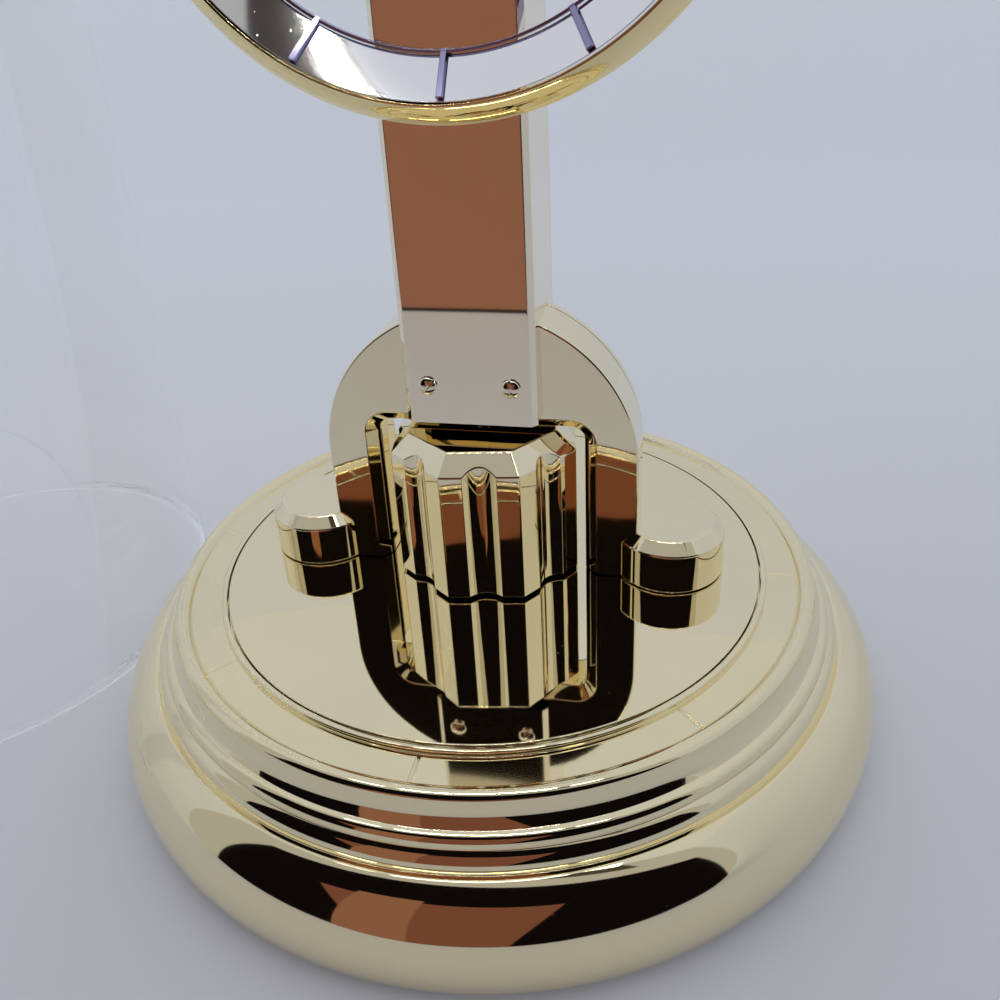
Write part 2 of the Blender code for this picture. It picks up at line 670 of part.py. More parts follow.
def arch():
    """Front shell with a hidden channel, its back plate, the screws up into its legs, and a bush."""
    front, back = -ARCH_HALF_DEPTH, ARCH_HALF_DEPTH
    split = back - ARCH_BACK_THICK
    throat = OPENING_HALF - OPENING_BEVEL
    corner = OPENING_CORNER
    wide = (ARCH_R, OPENING_HALF, OPENING_Z, corner, ARCH_FOOT)
    narrow = (ARCH_R, throat, THROAT_Z, corner, ARCH_FOOT)
    shell = loft("arch_front", [arch_outline(front, *wide), arch_outline(front + OPENING_BEVEL, *narrow),
                                arch_outline(split - GAP, *narrow)], GOLD)
    channel = (ARCH_R - ARCH_WALL, throat + ARCH_WALL, THROAT_Z + ARCH_WALL, corner,
               ARCH_FOOT + ARCH_SHOE)
    pocket = loft("arch_channel", [arch_outline(front + OPENING_BEVEL + GAP, *channel),
                                   arch_outline(split + OVERRUN, *channel)])
    screw_z = SEAT_Z + PILLAR_SCREW_RISE
    along = [spot(side * PILLAR_SCREW_X, 0.0, screw_z, -math.pi / 2.0) for side in (-1, 1)]
    bosses = holes("arch_boss", along, 2.0 * SCREW_R, front + OPENING_BEVEL, split - GAP)
    threads = holes("arch_thread", along, SCREW_R + GAP, front - OVERRUN, back + OVERRUN)
    legs = [spot(side * ARCH_SCREW_X, ARCH_SCREW_Y, 0.0) for side in (-1, 1)]
    leg_threads = holes("arch_leg_thread", legs, SCREW_R + GAP, MIRROR_Z - OVERRUN,
                        ARCH_FOOT + ARCH_SHOE + OVERRUN)
    lead_leg = holes("arch_lead_leg", [spot(-ARCH_SCREW_X, LEAD_Y, 0.0)], LEAD_HOLE_R,
                     MIRROR_Z - OVERRUN, ARCH_FOOT + ARCH_SHOE + OVERRUN)
    crown = ARCH_Z + ARCH_R
    lead_crown = holes("arch_lead_crown", [spot(0.0, LEAD_Y, 0.0)], LEAD_HOLE_R,
                       crown - ARCH_WALL - OVERRUN, crown + OVERRUN)
    hanger = holes("arch_hanger_hole", [spot(0.0, 0.0, 0.0)], HANGER_R + GAP,
                   THROAT_Z - OVERRUN, THROAT_Z + ARCH_WALL + OVERRUN)
    cut(shell, pocket)
    fuse(shell, bosses)
    cut(shell, threads, leg_threads, lead_leg, lead_crown, hanger)
    plate = loft("arch_back", [arch_outline(split, *narrow), arch_outline(back, *wide)], GOLD)
    cut(plate, threads)
    length = ARCH_FOOT + ARCH_SHOE - CHASSIS_LOW
    heads = [spot(side * ARCH_SCREW_X, ARCH_SCREW_Y, CHASSIS_LOW - GAP, math.pi) for side in (-1, 1)]
    screws("arch_screw", heads, SCREW_HEAD_R, length, STEEL)
    bush = [(PIN_R + RUN, THROAT_Z), (HANGER_R, THROAT_Z), (HANGER_R, THROAT_Z + ARCH_WALL + GAP),
            (HANGER_R + HANGER_FLANGE, THROAT_Z + ARCH_WALL + GAP),
            (HANGER_R + HANGER_FLANGE, THROAT_Z + ARCH_WALL + GAP + HANGER_FLANGE),
            (PIN_R + RUN, THROAT_Z + ARCH_WALL + GAP + HANGER_FLANGE)]
    turned("hanger_bush", bush, SMALL, BRASS)


# Round feet beside the arch, notched round its legs and held by screws from below

def side_feet():
    """Two chamfered pucks whose inner sides clear the arch."""
    top = SEAT_Z + SIDE_FOOT_TOP
    low = MIRROR_Z + GAP
    outline = [(0.0, low), (SIDE_FOOT_R, low), (SIDE_FOOT_R, top - SIDE_FOOT_CHAMFER),
               (SIDE_FOOT_R - SIDE_FOOT_CHAMFER, top), (0.0, top)]
    screw_x = SIDE_FOOT_R * SIDE_FOOT_SCREW_SHARE
    length = SIDE_FOOT_TOP / 2.0 + low - CHASSIS_LOW
    for name, side in (("side_foot_left", -1), ("side_foot_right", 1)):
        foot = turned(name, outline, MEDIUM, GOLD, at=(side * SIDE_FOOT_X, 0.0, 0.0))
        x0, x1 = sorted((side * OPENING_HALF / 2.0, side * (ARCH_R + GAP)))
        y = ARCH_HALF_DEPTH + GAP
        notch = boxes(name + "_notch", [((x0, -y, low - OVERRUN), (x1, y, top + OVERRUN))])
        hole = holes(name + "_hole", [spot(side * (SIDE_FOOT_X + screw_x), 0.0, 0.0)],
                     SCREW_R + GAP, low - OVERRUN, low + SIDE_FOOT_TOP / 2.0)
        cut(foot, notch, hole)
    places = [spot(side * (SIDE_FOOT_X + screw_x), 0.0, CHASSIS_LOW - GAP, math.pi) for side in (-1, 1)]
    screws("side_foot_screw", places, SCREW_HEAD_R, length - GAP, STEEL)


# Pillar: a folded front channel astride the arch and a flat back

def pillar():
    """Front channel, back plate, and the long screws through the arch that hold them."""
    foot = SEAT_Z + PILLAR_FOOT
    top = DIAL_Z
    back = PILLAR_DEPTH - PILLAR_FRONT
    inside = PILLAR_HALF - PILLAR_WALL
    rear = back - PILLAR_WALL - GAP
    front_in = PILLAR_WALL - PILLAR_FRONT
    section = [(-PILLAR_HALF, PILLAR_CHAMFER - PILLAR_FRONT), (PILLAR_CHAMFER - PILLAR_HALF, -PILLAR_FRONT),
               (PILLAR_HALF - PILLAR_CHAMFER, -PILLAR_FRONT), (PILLAR_HALF, PILLAR_CHAMFER - PILLAR_FRONT),
               (PILLAR_HALF, rear), (inside, rear), (inside, front_in), (-inside, front_in),
               (-inside, rear), (-PILLAR_HALF, rear)]
    channel = loft("pillar_front", [[(x, y, z) for x, y in section] for z in (foot, top)], GOLD)
    crown = ARCH_Z + ARCH_R + GAP
    pad_y = -ARCH_HALF_DEPTH - GAP
    block_low = DIAL_Z - DRUM_R - PILLAR_BLOCK
    sink = GAP
    pads = boxes("pillar_pads", [
        ((-inside - sink, front_in - sink, foot), (inside + sink, pad_y, crown + PILLAR_WALL)),
        ((-inside - sink, front_in - sink, block_low), (inside + sink, rear, top))])
    fuse(channel, pads)
    slot_half = ARCH_HALF_DEPTH + GAP
    wide = ARCH_R + GAP
    ring = []
    for index in range(ARCH_STEPS + 1):
        angle = math.pi * index / ARCH_STEPS
        ring.append((wide * math.cos(angle), ARCH_Z + wide * math.sin(angle)))
    ring += [(-wide, ARCH_FOOT), (wide, ARCH_FOOT)]
    astride = loft("pillar_slot", [[(x, y, z) for x, z in ring] for y in (-slot_half, slot_half)])
    drum = turned_group("pillar_drum_bed", rod(DRUM_R + GAP, -PILLAR_DEPTH, PILLAR_DEPTH), ROUND,
                        [spot(0.0, 0.0, DIAL_Z, -math.pi / 2.0)])
    lead = holes("pillar_lead_hole", [spot(0.0, LEAD_Y, 0.0)], LEAD_HOLE_R, block_low - OVERRUN, top)
    screw_z = SEAT_Z + PILLAR_SCREW_RISE
    heads = [spot(side * PILLAR_SCREW_X, -PILLAR_FRONT - GAP, screw_z, math.pi / 2.0) for side in (-1, 1)]
    threads = holes("pillar_screw_holes", heads, SCREW_R + GAP, -PILLAR_FRONT, OVERRUN)
    dial_screws = holes("pillar_dial_holes", dial_screw_places(), SCREW_R + GAP, -OVERRUN - PILLAR_WALL,
                        PILLAR_WALL + OVERRUN)
    drum_screws = holes("pillar_drum_threads", drum_screw_places(), SCREW_R + GAP,
                        -PILLAR_BLOCK / 2.0, PILLAR_BLOCK)
    cut(channel, astride, drum, lead, threads, dial_screws, drum_screws)
    length = PILLAR_FRONT + (ARCH_HALF_DEPTH + back) / 2.0
    screws("pillar_screw", heads, PILLAR_SCREW_HEAD_R, length, GOLD, slotted=True)
    plate = boxes("pillar_back", [((-PILLAR_HALF, back - PILLAR_WALL, foot),
                                   (PILLAR_HALF, back, top))], GOLD)
    pad = boxes("pillar_back_pad", [((GAP - inside, -pad_y, foot),
                                     (inside - GAP, back - PILLAR_WALL + sink, crown + PILLAR_WALL))])
    fuse(plate, pad)
    rear_threads = holes("pillar_back_threads", heads, SCREW_R + GAP, -length - GAP, 0.0)
    cut(plate, drum, rear_threads)


def dial_screw_places():
    """Two screws inside the pillar that hold the ring at its lowest point."""
    middle = (RING_INNER_R + RIDGE_R) / 2.0
    y = PILLAR_WALL - PILLAR_FRONT + GAP
    return [spot(side * DIAL_SCREW_X, y, DIAL_Z - middle, -math.pi / 2.0) for side in (-1, 1)]


def drum_screw_places():
    """Two screws inside the drum that go down into the pillar's block."""
    x = PILLAR_SCREW_X
    height = math.sqrt((DRUM_R - DRUM_WALL - SCREW_HEAD) ** 2 - x ** 2)
    return [spot(side * x, -ARCH_HALF_DEPTH / 2.0, DIAL_Z - height + GAP) for side in (-1, 1)]


# Lead from the base to the movement, inside the arch's left leg and the pillar

def lead():
    """A single twin lead on a smooth curve through the arch's channel."""
    half = OPENING_HALF
    middle_r = (ARCH_R + half) / 2.0
    route = [(-BOARD_HALF_X + LEAD_HOLE_R, LEAD_Y, CHASSIS_LOW - BOARD_POST + LEAD_R),
             (-BOARD_HALF_X - LEAD_HOLE_R, LEAD_Y, CHASSIS_LOW - BOARD_POST / 2.0),
             (-ARCH_SCREW_X, LEAD_Y, CHASSIS_LOW - LEAD_HOLE_R),
             (-ARCH_SCREW_X, LEAD_Y, ARCH_FOOT),
             (-ARCH_SCREW_X, LEAD_Y, ARCH_FOOT + ARCH_SHOE),
             (-middle_r, LEAD_Y, ARCH_Z)]
    crown_r = ARCH_R - ARCH_WALL - 2.0 * LEAD_HOLE_R
    for angle in LEAD_BEND:
        share = (LEAD_BEND[0] - angle) / (LEAD_BEND[0] - LEAD_BEND[-1])
        radius = middle_r + (crown_r - middle_r) * share
        route.append((radius * math.cos(angle), LEAD_Y, ARCH_Z + radius * math.sin(angle)))
    crown = ARCH_Z + ARCH_R
    route += [(0.0, LEAD_Y, crown - 2.0 * ARCH_WALL), (0.0, LEAD_Y, crown + ARCH_SHOE),
              (0.0, LEAD_Y, (crown + DIAL_Z) / 2.0), (0.0, LEAD_Y, DIAL_Z - DRUM_R - PILLAR_BLOCK),
              (0.0, LEAD_Y, DIAL_Z - DRUM_R), (0.0, LEAD_Y, DIAL_Z - MODULE_HALF - GAP)]
    curve = bpy.data.curves.new("movement_lead", "CURVE")
    curve.dimensions = "3D"
    spline = curve.splines.new("POLY")
    spline.points.add(len(route) - 1)
    for point, place in zip(spline.points, route):
        point.co = (*place, 1.0)
    curve.bevel_depth = LEAD_R
    curve.bevel_resolution = 1
    curve.use_fill_caps = True
    curve.materials.append(material("movement_lead", *RUBBER))
    wire = bpy.data.objects.new("movement_lead", curve)
    bpy.context.scene.collection.objects.link(wire)


# Pendulum: a fluted eight-sided weight that turns under the arch

def pendulum():
    """Body, bottom plate, inner weight, magnet and shaft, all round the base's axis, and their bush."""
    axis = empty("pendulum_axis", (0.0, 0.0, SEAT_Z))
    axis.rotation_euler = (0.0, 0.0, PENDULUM_FACE_ANGLE)
    apothem = PENDULUM_R * math.cos(math.pi / 8.0)
    small = (apothem - PENDULUM_CHAMFER) / math.cos(math.pi / 8.0)
    rings = []
    for radius, height in ((PENDULUM_R, PENDULUM_FOOT), (PENDULUM_R, PENDULUM_TOP - PENDULUM_CHAMFER),
                           (small, PENDULUM_TOP)):
        corners = [math.tau * (index + 0.5) / 8.0 for index in range(8)]
        rings.append([(radius * math.cos(a), radius * math.sin(a), height) for a in corners])
    body = loft("pendulum_body", rings, GOLD, axis)
    flute_r = (FLUTE_WIDTH ** 2 / 4.0 + FLUTE_DEPTH ** 2) / (2.0 * FLUTE_DEPTH)
    reach = apothem - FLUTE_DEPTH + flute_r
    places = [spot(reach * math.cos(a), reach * math.sin(a), 0.0)
              for a in (math.tau * index / 8.0 for index in range(8))]
    flutes = turned_group("pendulum_flutes", rod(flute_r, PENDULUM_FOOT - OVERRUN,
                                                 PENDULUM_TOP + OVERRUN), MEDIUM, places, parent=axis)
    roof = PENDULUM_TOP - PENDULUM_LID
    bore = turned("pendulum_bore", rod(PENDULUM_BORE_R, PENDULUM_FOOT - OVERRUN, roof), MEDIUM,
                  parent=axis)
    pin_hole = turned("pendulum_pin_hole", rod(SHAFT_R + GAP, roof - OVERRUN, PENDULUM_TOP + OVERRUN),
                      SMALL, parent=axis)
    cut(body, flutes, bore, pin_hole)
    inner = PENDULUM_BORE_R - GAP
    plate_top = PENDULUM_FOOT + PENDULUM_PLATE
    turned("pendulum_plate", pipe(SHAFT_R + GAP, inner, PENDULUM_FOOT, plate_top), MEDIUM, BRASS, axis)
    magnet_low = plate_top + GAP
    magnet_top = magnet_low + MAGNET_HEIGHT
    turned("pendulum_magnet", pipe(SHAFT_R + GAP, MAGNET_R, magnet_low, magnet_top), MEDIUM, STEEL, axis)
    turned("pendulum_weight", pipe(SHAFT_R + GAP, inner, magnet_top + GAP, roof - GAP), MEDIUM,
           STEEL, axis)
    shaft_low = DISC_RISE - BUSH_DEPTH + BUSH_FLOOR + RUN
    pin_top = OPENING_TOP - OPENING_BEVEL + ARCH_WALL + GAP + HANGER_FLANGE
    shaft = [(0.0, shaft_low), (SHAFT_R, shaft_low), (SHAFT_R, PENDULUM_TOP),
             (PIN_R, PENDULUM_TOP), (PIN_R, pin_top), (0.0, pin_top)]
    turned("pendulum_shaft", shaft, SMALL, STEEL, axis)
    low = MIRROR_Z - BUSH_DEPTH
    flange_r = BUSH_R + BUSH_FLOOR
    cup = [(0.0, low), (BUSH_R, low), (BUSH_R, CHASSIS_LOW - BUSH_FLOOR - GAP),
           (flange_r, CHASSIS_LOW - BUSH_FLOOR - GAP), (flange_r, CHASSIS_LOW - GAP),
           (BUSH_R, CHASSIS_LOW - GAP), (BUSH_R, MIRROR_Z), (SHAFT_R + RUN, MIRROR_Z),
           (SHAFT_R + RUN, low + BUSH_FLOOR), (0.0, low + BUSH_FLOOR)]
    turned("pivot_bush", cup, SMALL, BRASS)


# Dial ring: silvered cone with bars, in a gold bezel, drawn with local Z forward

def dial(face):
    """Ring, bezel, twelve bars and the two hidden screws."""
    ring = [(RING_INNER_R, GAP), (RIDGE_R, GAP), (RIDGE_R, RIDGE_FORWARD), (RING_INNER_R, GAP + RING_LIP)]
    cone = turned("dial_ring", ring, ROUND, SILVER, face)
    reach = (RIDGE_R - RING_INNER_R) / 2.0
    depth = (RIDGE_FORWARD - RING_LIP) / 2.0
    blind = holes("dial_screw_sockets", dial_screw_places(), SCREW_R + GAP, -PILLAR_WALL - depth, OVERRUN)
    cut(cone, blind)
    inner = RIDGE_R + GAP
    bezel = [(inner, GAP), (RING_OUTER_R, GAP), (RING_OUTER_R, BEZEL_EDGE),
             (inner + BEZEL_LAND, RIDGE_FORWARD), (inner, RIDGE_FORWARD)]
    turned("dial_bezel", bezel, ROUND, GOLD, face)
    screws("dial_screw", dial_screw_places(), SCREW_HEAD_R, PILLAR_WALL + depth - GAP, STEEL)
    lip_r = RING_INNER_R - GAP
    lip_top = GAP + RING_LIP + MARKER_HEIGHT
    hours = turned("hour_ring", pipe(lip_r - MARKER_HEIGHT, lip_r, GAP, lip_top), ROUND, LAVENDER, face)
    rise = RIDGE_FORWARD - GAP - RING_LIP
    slope = Vector((RIDGE_R - RING_INNER_R, 0.0, rise))
    out = Vector((-rise, 0.0, RIDGE_R - RING_INNER_R)).normalized()
    foot = Vector((RING_INNER_R, 0.0, GAP + RING_LIP))
    bm = bmesh.new()
    for index in range(12):
        rings = []
        for share in (-MARKER_END_SHARE, 1.0 - MARKER_END_SHARE):
            base = foot + slope * share + out * GAP
            half = Vector((0.0, MARKER_WIDTH / 2.0, 0.0))
            crest = Vector((0.0, MARKER_WIDTH / 4.0, 0.0))
            top = base + out * MARKER_HEIGHT
            rings.append([base - half, base + half, top + crest, top - crest])
        spin = Matrix.Rotation(math.tau * index / 12.0, 4, "Z")
        add_loft(bm, [[spin @ point for point in ring] for ring in rings])
    fuse(hours, finish(bm, "hour_bars", parent=face))


# Movement drum, its cover and the module inside

def movement(face):
    """Drum with a front wall, rear cover, screws, module and fixed centre post."""
    back = -PILLAR_DEPTH
    inner = DRUM_R - DRUM_WALL
    rear = back + DRUM_WALL + GAP
    drum_outline = [(HOUR_TUBE_R + GAP, 0.0), (HOUR_TUBE_R + GAP, -DRUM_WALL), (inner, -DRUM_WALL),
                    (inner, rear), (DRUM_R, rear), (DRUM_R, 0.0)]
    drum = turned("movement_drum", drum_outline, ROUND, GOLD, face)
    lead_hole = holes("drum_lead_hole", [spot(0.0, LEAD_Y, 0.0)], LEAD_HOLE_R,
                      DIAL_Z - DRUM_R - OVERRUN, DIAL_Z - MODULE_HALF)
    screw_holes = holes("drum_screw_holes", drum_screw_places(), SCREW_R + GAP, -PILLAR_BLOCK, 0.0)
    cut(drum, lead_hole, screw_holes)
    screws("drum_screw", drum_screw_places(), SCREW_HEAD_R, PILLAR_BLOCK / 2.0 - GAP, STEEL)
    arbor_hole = turned("cover_arbor_hole", rod(POST_R + 2.0 * GAP, back - OVERRUN, rear), SMALL,
                        parent=face, at=(0.0, -GEAR_DISTANCE, 0.0))
    cover = turned("movement_cover", rod(DRUM_R, back, back + DRUM_WALL), ROUND, GOLD, face)
    corners = cover_corner_places()
    cover_holes = turned_group("cover_corner_holes", rod(SCREW_R + GAP, back - OVERRUN, rear + OVERRUN),
                               SMALL, corners, parent=face)
    cut(cover, arbor_hole, cover_holes)
    module_back = rear + MODULE_BACK_GAP
    module_front = module_back + MODULE_DEPTH
    half, corner = MODULE_HALF, MODULE_CORNER
    ring = [(-half + corner, -half), (half - corner, -half), (half, corner - half), (half, half - corner),
            (half - corner, half), (corner - half, half), (-half, half - corner), (-half, corner - half)]
    module = loft("movement_module", [[(x, y, z) for x, y in ring] for z in (module_back, module_front)],
                  BLACK, face)
    arbor = turned("module_arbor_hole", rod(POST_R + GAP, module_back - OVERRUN, module_front + OVERRUN),
                   SMALL, parent=face, at=(0.0, -GEAR_DISTANCE, 0.0))
    seat = turned("module_post_hole", rod(POST_R + GAP, module_front - MODULE_CORNER,
                                          module_front + OVERRUN), SMALL, parent=face)
    threads = turned_group("module_threads", rod(SCREW_R + GAP, module_back - OVERRUN,
                                                 module_back + MODULE_CORNER), SMALL, corners, parent=face)
    cut(module, arbor, seat, threads)
    turned("centre_post", rod(POST_R, module_front - MODULE_CORNER + GAP, MINUTE_HAND_FORWARD), SMALL,
           STEEL, face)
    heads = [place @ spot(0.0, 0.0, back - GAP, math.pi) for place in corners]
    length = rear + MODULE_BACK_GAP + MODULE_CORNER - back
    screws("cover_screw", heads, SCREW_HEAD_R, length - GAP, STEEL, face, slotted=True)
    return module_front


def cover_corner_places():
    """Two screws that hold the cover and the module together."""
    reach = MODULE_HALF - MODULE_CORNER
    return [spot(-reach, reach, 0.0), spot(reach, reach, 0.0)]


# Motion work: minute pinion, minute wheel with its pinion and setting knob, hour wheel

def gear_ring(teeth, pitch_r, offset, height):
    """One outline of a straight-flanked gear; teeth are thin, so that they run with backlash."""
    unit = 2.0 * pitch_r / teeth
    tip = pitch_r + TOOTH_TIP_SHARE * unit
    root = pitch_r - TOOTH_ROOT_SHARE * unit
    step = math.tau / teeth
    at_tip, at_root = TOOTH_HALF_SHARES
    points = []
    for index in range(teeth):
        middle = offset + step * index
        for radius, share in ((root, -at_root), (tip, -at_tip), (tip, at_tip), (root, at_root)):
            angle = middle + share * step
            points.append((radius * math.cos(angle), radius * math.sin(angle), height))
    return points


def gear(name, teeth, pitch_r, offset, low, look, parent):
    """A toothed wheel of the common thickness."""
    rings = [gear_ring(teeth, pitch_r, offset, height) for height in (low, low + GEAR_THICK)]
    return loft(name, rings, look, parent)


def motion_work(face, module_front):
    """Minute pinion on its tube, the minute wheel beside it, and the hour wheel over the tube."""
    low = module_front + GAP
    high = low + GEAR_THICK + GAP
    pinion_r = GEAR_DISTANCE * MINUTE_PINION_TEETH / (MINUTE_PINION_TEETH + MINUTE_WHEEL_TEETH)
    wheel_r = GEAR_DISTANCE - pinion_r
    small_r = GEAR_DISTANCE * HOUR_PINION_TEETH / (HOUR_PINION_TEETH + HOUR_WHEEL_TEETH)
    hour_r = GEAR_DISTANCE - small_r
    tube_top = MINUTE_HAND_FORWARD + HAND_THICK + NUT_LENGTH / 2.0

    pinion_start = -math.pi / 2.0
    cannon = gear("cannon_pinion", MINUTE_PINION_TEETH, pinion_r, pinion_start, low, BRASS, face)
    fuse(cannon, turned("cannon_tube", rod(CANNON_R, low + GAP, tube_top), SMALL, parent=face))
    cut(cannon, turned("cannon_bore", rod(POST_R + RUN, low - OVERRUN, tube_top + OVERRUN), SMALL,
                       parent=face))

    side = empty("minute_wheel_axis", (0.0, -PILLAR_FRONT, DIAL_Z - GEAR_DISTANCE),
                 (math.pi / 2.0, 0.0, 0.0))
    half_step = math.pi / MINUTE_WHEEL_TEETH
    wheel = gear("minute_wheel", MINUTE_WHEEL_TEETH, wheel_r, math.pi / 2.0 + half_step, low, BRASS, side)
    pinion_ring = [gear_ring(HOUR_PINION_TEETH, small_r, math.pi / 2.0 + math.pi / HOUR_PINION_TEETH, z)
                   for z in (low + GEAR_THICK - GAP, high + GEAR_THICK)]
    knob_low = -PILLAR_DEPTH - GAP
    arbor_top = high + GEAR_THICK + GAP
    arbor = turned("minute_arbor", rod(POST_R, knob_low - KNOB_LENGTH / 2.0, arbor_top), SMALL, parent=side)
    fuse(wheel, loft("hour_pinion", pinion_ring, parent=side), arbor)
    knob = turned("set_knob", knob_outline(knob_low), MEDIUM, BLACK, side)
    cut(knob, turned("knob_socket", rod(POST_R + GAP, knob_low - KNOB_LENGTH / 2.0 - GAP, 0.0), SMALL,
                     parent=side))

    hour = gear("hour_wheel", HOUR_WHEEL_TEETH, hour_r, -math.pi / 2.0, high, BRASS, face)
    hour_top = HOUR_HAND_FORWARD + HAND_THICK + GAP
    fuse(hour, turned("hour_tube", rod(HOUR_TUBE_R, high + GAP, hour_top), SMALL, parent=face))
    cut(hour, turned("hour_bore", rod(CANNON_R + RUN, high - OVERRUN, hour_top + OVERRUN), SMALL,
                     parent=face))
    return tube_top


def knob_outline(high):
    """Setting knob with an eased rim."""
    low = high - KNOB_LENGTH
    return [(0.0, low), (KNOB_R - KNOB_EDGE, low), (KNOB_R, low + KNOB_EDGE), (KNOB_R, high - KNOB_EDGE),
            (KNOB_R - KNOB_EDGE, high), (0.0, high)]


def hand(name, length, bore_r, low, angle, look, face):
    """A tapered hand with a round hub; zero angle points to twelve, turning clockwise."""
    width = HAND_HALF_WIDTH
    tail = length * HAND_TAIL_SHARE
    widest = length * HAND_WIDEST_SHARE
    shape = [(-width / 2.0, -tail), (width / 2.0, -tail), (width, widest), (0.0, length), (-width, widest)]
    rings = [[(x, y, z) for x, y in shape] for z in (low, low + HAND_THICK)]
    blade = loft(name, rings, look, face)
    hub = turned(name + "_hub", rod(bore_r + HAND_HALF_WIDTH, low, low + HAND_THICK), MEDIUM, parent=face)
    bore = turned(name + "_bore", rod(bore_r, low - OVERRUN, low + HAND_THICK + OVERRUN), SMALL, parent=face)
    blade.rotation_euler = (0.0, 0.0, -angle)
    fuse(blade, hub)
    cut(blade, bore)


def hands(face, tube_top):
    """Hour hand, minute hand and the cap nut in front."""
    hand("hour_hand", HOUR_HAND_LENGTH, HOUR_TUBE_R + GAP, HOUR_HAND_FORWARD, HOUR_HAND_ANGLE, BLACK, face)
    hand("minute_hand", MINUTE_HAND_LENGTH, CANNON_R + GAP, MINUTE_HAND_FORWARD, MINUTE_HAND_ANGLE, BLACK,
         face)
    nut_low = MINUTE_HAND_FORWARD + HAND_THICK + GAP
    cap = tube_top + GAP
    nut = [(0.0, cap), (CANNON_R + GAP, cap), (CANNON_R + GAP, nut_low), (NUT_R, nut_low), (NUT_R, cap),
           (NUT_R / 2.0, cap + NUT_LENGTH / 2.0), (0.0, cap + NUT_LENGTH / 2.0)]
    turned("hand_nut", nut, SMALL, GOLD, face)


# Glass dome, lifted off and stood beside the clock

def glass_dome():
    """A straight-sided bell with a half-round crown."""
    axis = empty("dome_axis", (-BASE_R - DOME_R - DOME_CLEARANCE, 0.0, TABLE_Z))
    shoulder = DOME_HEIGHT - DOME_R
    inner = DOME_R - DOME_WALL
    outside = [(DOME_R, 0.0)]
    inside = []
    for index in range(DOME_STEPS):
        angle = math.pi / 2.0 * index / DOME_STEPS
        outside.append((DOME_R * math.cos(angle), shoulder + DOME_R * math.sin(angle)))
        inside.append((inner * math.cos(angle), shoulder + inner * math.sin(angle)))
    outside.append((0.0, shoulder + DOME_R))
    inside.append((0.0, shoulder + inner))
    outline = list(reversed(inside)) + [(inner, 0.0)] + outside
    turned("glass_dome", outline, ROUND, GLASS, axis)


base_shell()
mirror_disc()
chassis()
electrics()
bottom_cover()
rubber_feet()
battery_door()
arch()
side_feet()
pillar()
lead()
pendulum()
dial_face = empty("dial_face", (0.0, -PILLAR_FRONT, DIAL_Z), (math.pi / 2.0, 0.0, 0.0))
dial(dial_face)
front_of_module = movement(dial_face)
top_of_tube = motion_work(dial_face, front_of_module)
hands(dial_face, top_of_tube)
glass_dome()
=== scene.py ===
import bpy
import math
import numpy as np
from mathutils import Matrix, Vector


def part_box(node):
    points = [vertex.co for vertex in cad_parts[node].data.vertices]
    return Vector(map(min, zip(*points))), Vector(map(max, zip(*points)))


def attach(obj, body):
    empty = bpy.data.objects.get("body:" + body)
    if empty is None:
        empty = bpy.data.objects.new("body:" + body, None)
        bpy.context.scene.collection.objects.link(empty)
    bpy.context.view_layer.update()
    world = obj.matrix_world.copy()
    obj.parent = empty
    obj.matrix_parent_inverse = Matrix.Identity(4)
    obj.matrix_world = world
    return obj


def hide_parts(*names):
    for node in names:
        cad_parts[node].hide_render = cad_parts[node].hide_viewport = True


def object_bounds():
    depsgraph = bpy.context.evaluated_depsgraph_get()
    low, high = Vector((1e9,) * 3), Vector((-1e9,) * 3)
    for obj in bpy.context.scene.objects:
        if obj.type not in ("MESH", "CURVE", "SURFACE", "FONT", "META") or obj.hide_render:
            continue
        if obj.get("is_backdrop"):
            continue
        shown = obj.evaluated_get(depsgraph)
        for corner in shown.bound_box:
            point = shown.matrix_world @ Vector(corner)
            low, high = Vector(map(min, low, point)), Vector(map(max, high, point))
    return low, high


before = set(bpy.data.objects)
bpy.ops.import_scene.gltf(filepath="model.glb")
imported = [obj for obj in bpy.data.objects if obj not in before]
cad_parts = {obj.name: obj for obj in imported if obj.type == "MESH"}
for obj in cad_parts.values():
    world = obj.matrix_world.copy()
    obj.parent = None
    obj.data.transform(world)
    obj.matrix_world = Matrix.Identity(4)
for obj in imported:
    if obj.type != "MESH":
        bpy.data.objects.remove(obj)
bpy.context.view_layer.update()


# Studio: a pale photographic tent with one open side in front, lit through its
# walls and by a strip of small lamps over the opening. Roof, front wall, room and
# lamps show only in reflections.

camera_data = bpy.data.cameras.new("camera")
camera_data.lens = 32.483
camera_data.sensor_width = 36.0
camera_data.shift_x = 0.0066
camera_data.shift_y = -0.0830
camera_data.clip_start = 0.01
camera = bpy.data.objects.new("camera", camera_data)
bpy.context.scene.collection.objects.link(camera)
bpy.context.scene.camera = camera
yaw, pitch, roll = -0.2318, 0.4540, -0.0574
ahead = Vector((math.sin(yaw) * math.cos(pitch), math.cos(yaw) * math.cos(pitch), -math.sin(pitch)))
right = Vector((math.cos(yaw), -math.sin(yaw), 0.0))
up = right.cross(ahead)
right, up = right * math.cos(roll) + up * math.sin(roll), up * math.cos(roll) - right * math.sin(roll)
turn = Matrix((right, up, -ahead)).transposed().to_4x4()
camera.matrix_world = Matrix.Translation((0.04238, -0.17071, 0.14896)) @ turn


def glow(name, colour, strength):
    """A plain lit surface."""
    look = bpy.data.materials.new(name)
    look.use_nodes = True
    look.node_tree.nodes.clear()
    lamp = look.node_tree.nodes.new("ShaderNodeEmission")
    lamp.inputs["Color"].default_value = (*colour, 1.0)
    lamp.inputs["Strength"].default_value = strength
    out = look.node_tree.nodes.new("ShaderNodeOutputMaterial")
    look.node_tree.links.new(lamp.outputs[0], out.inputs["Surface"])
    return look


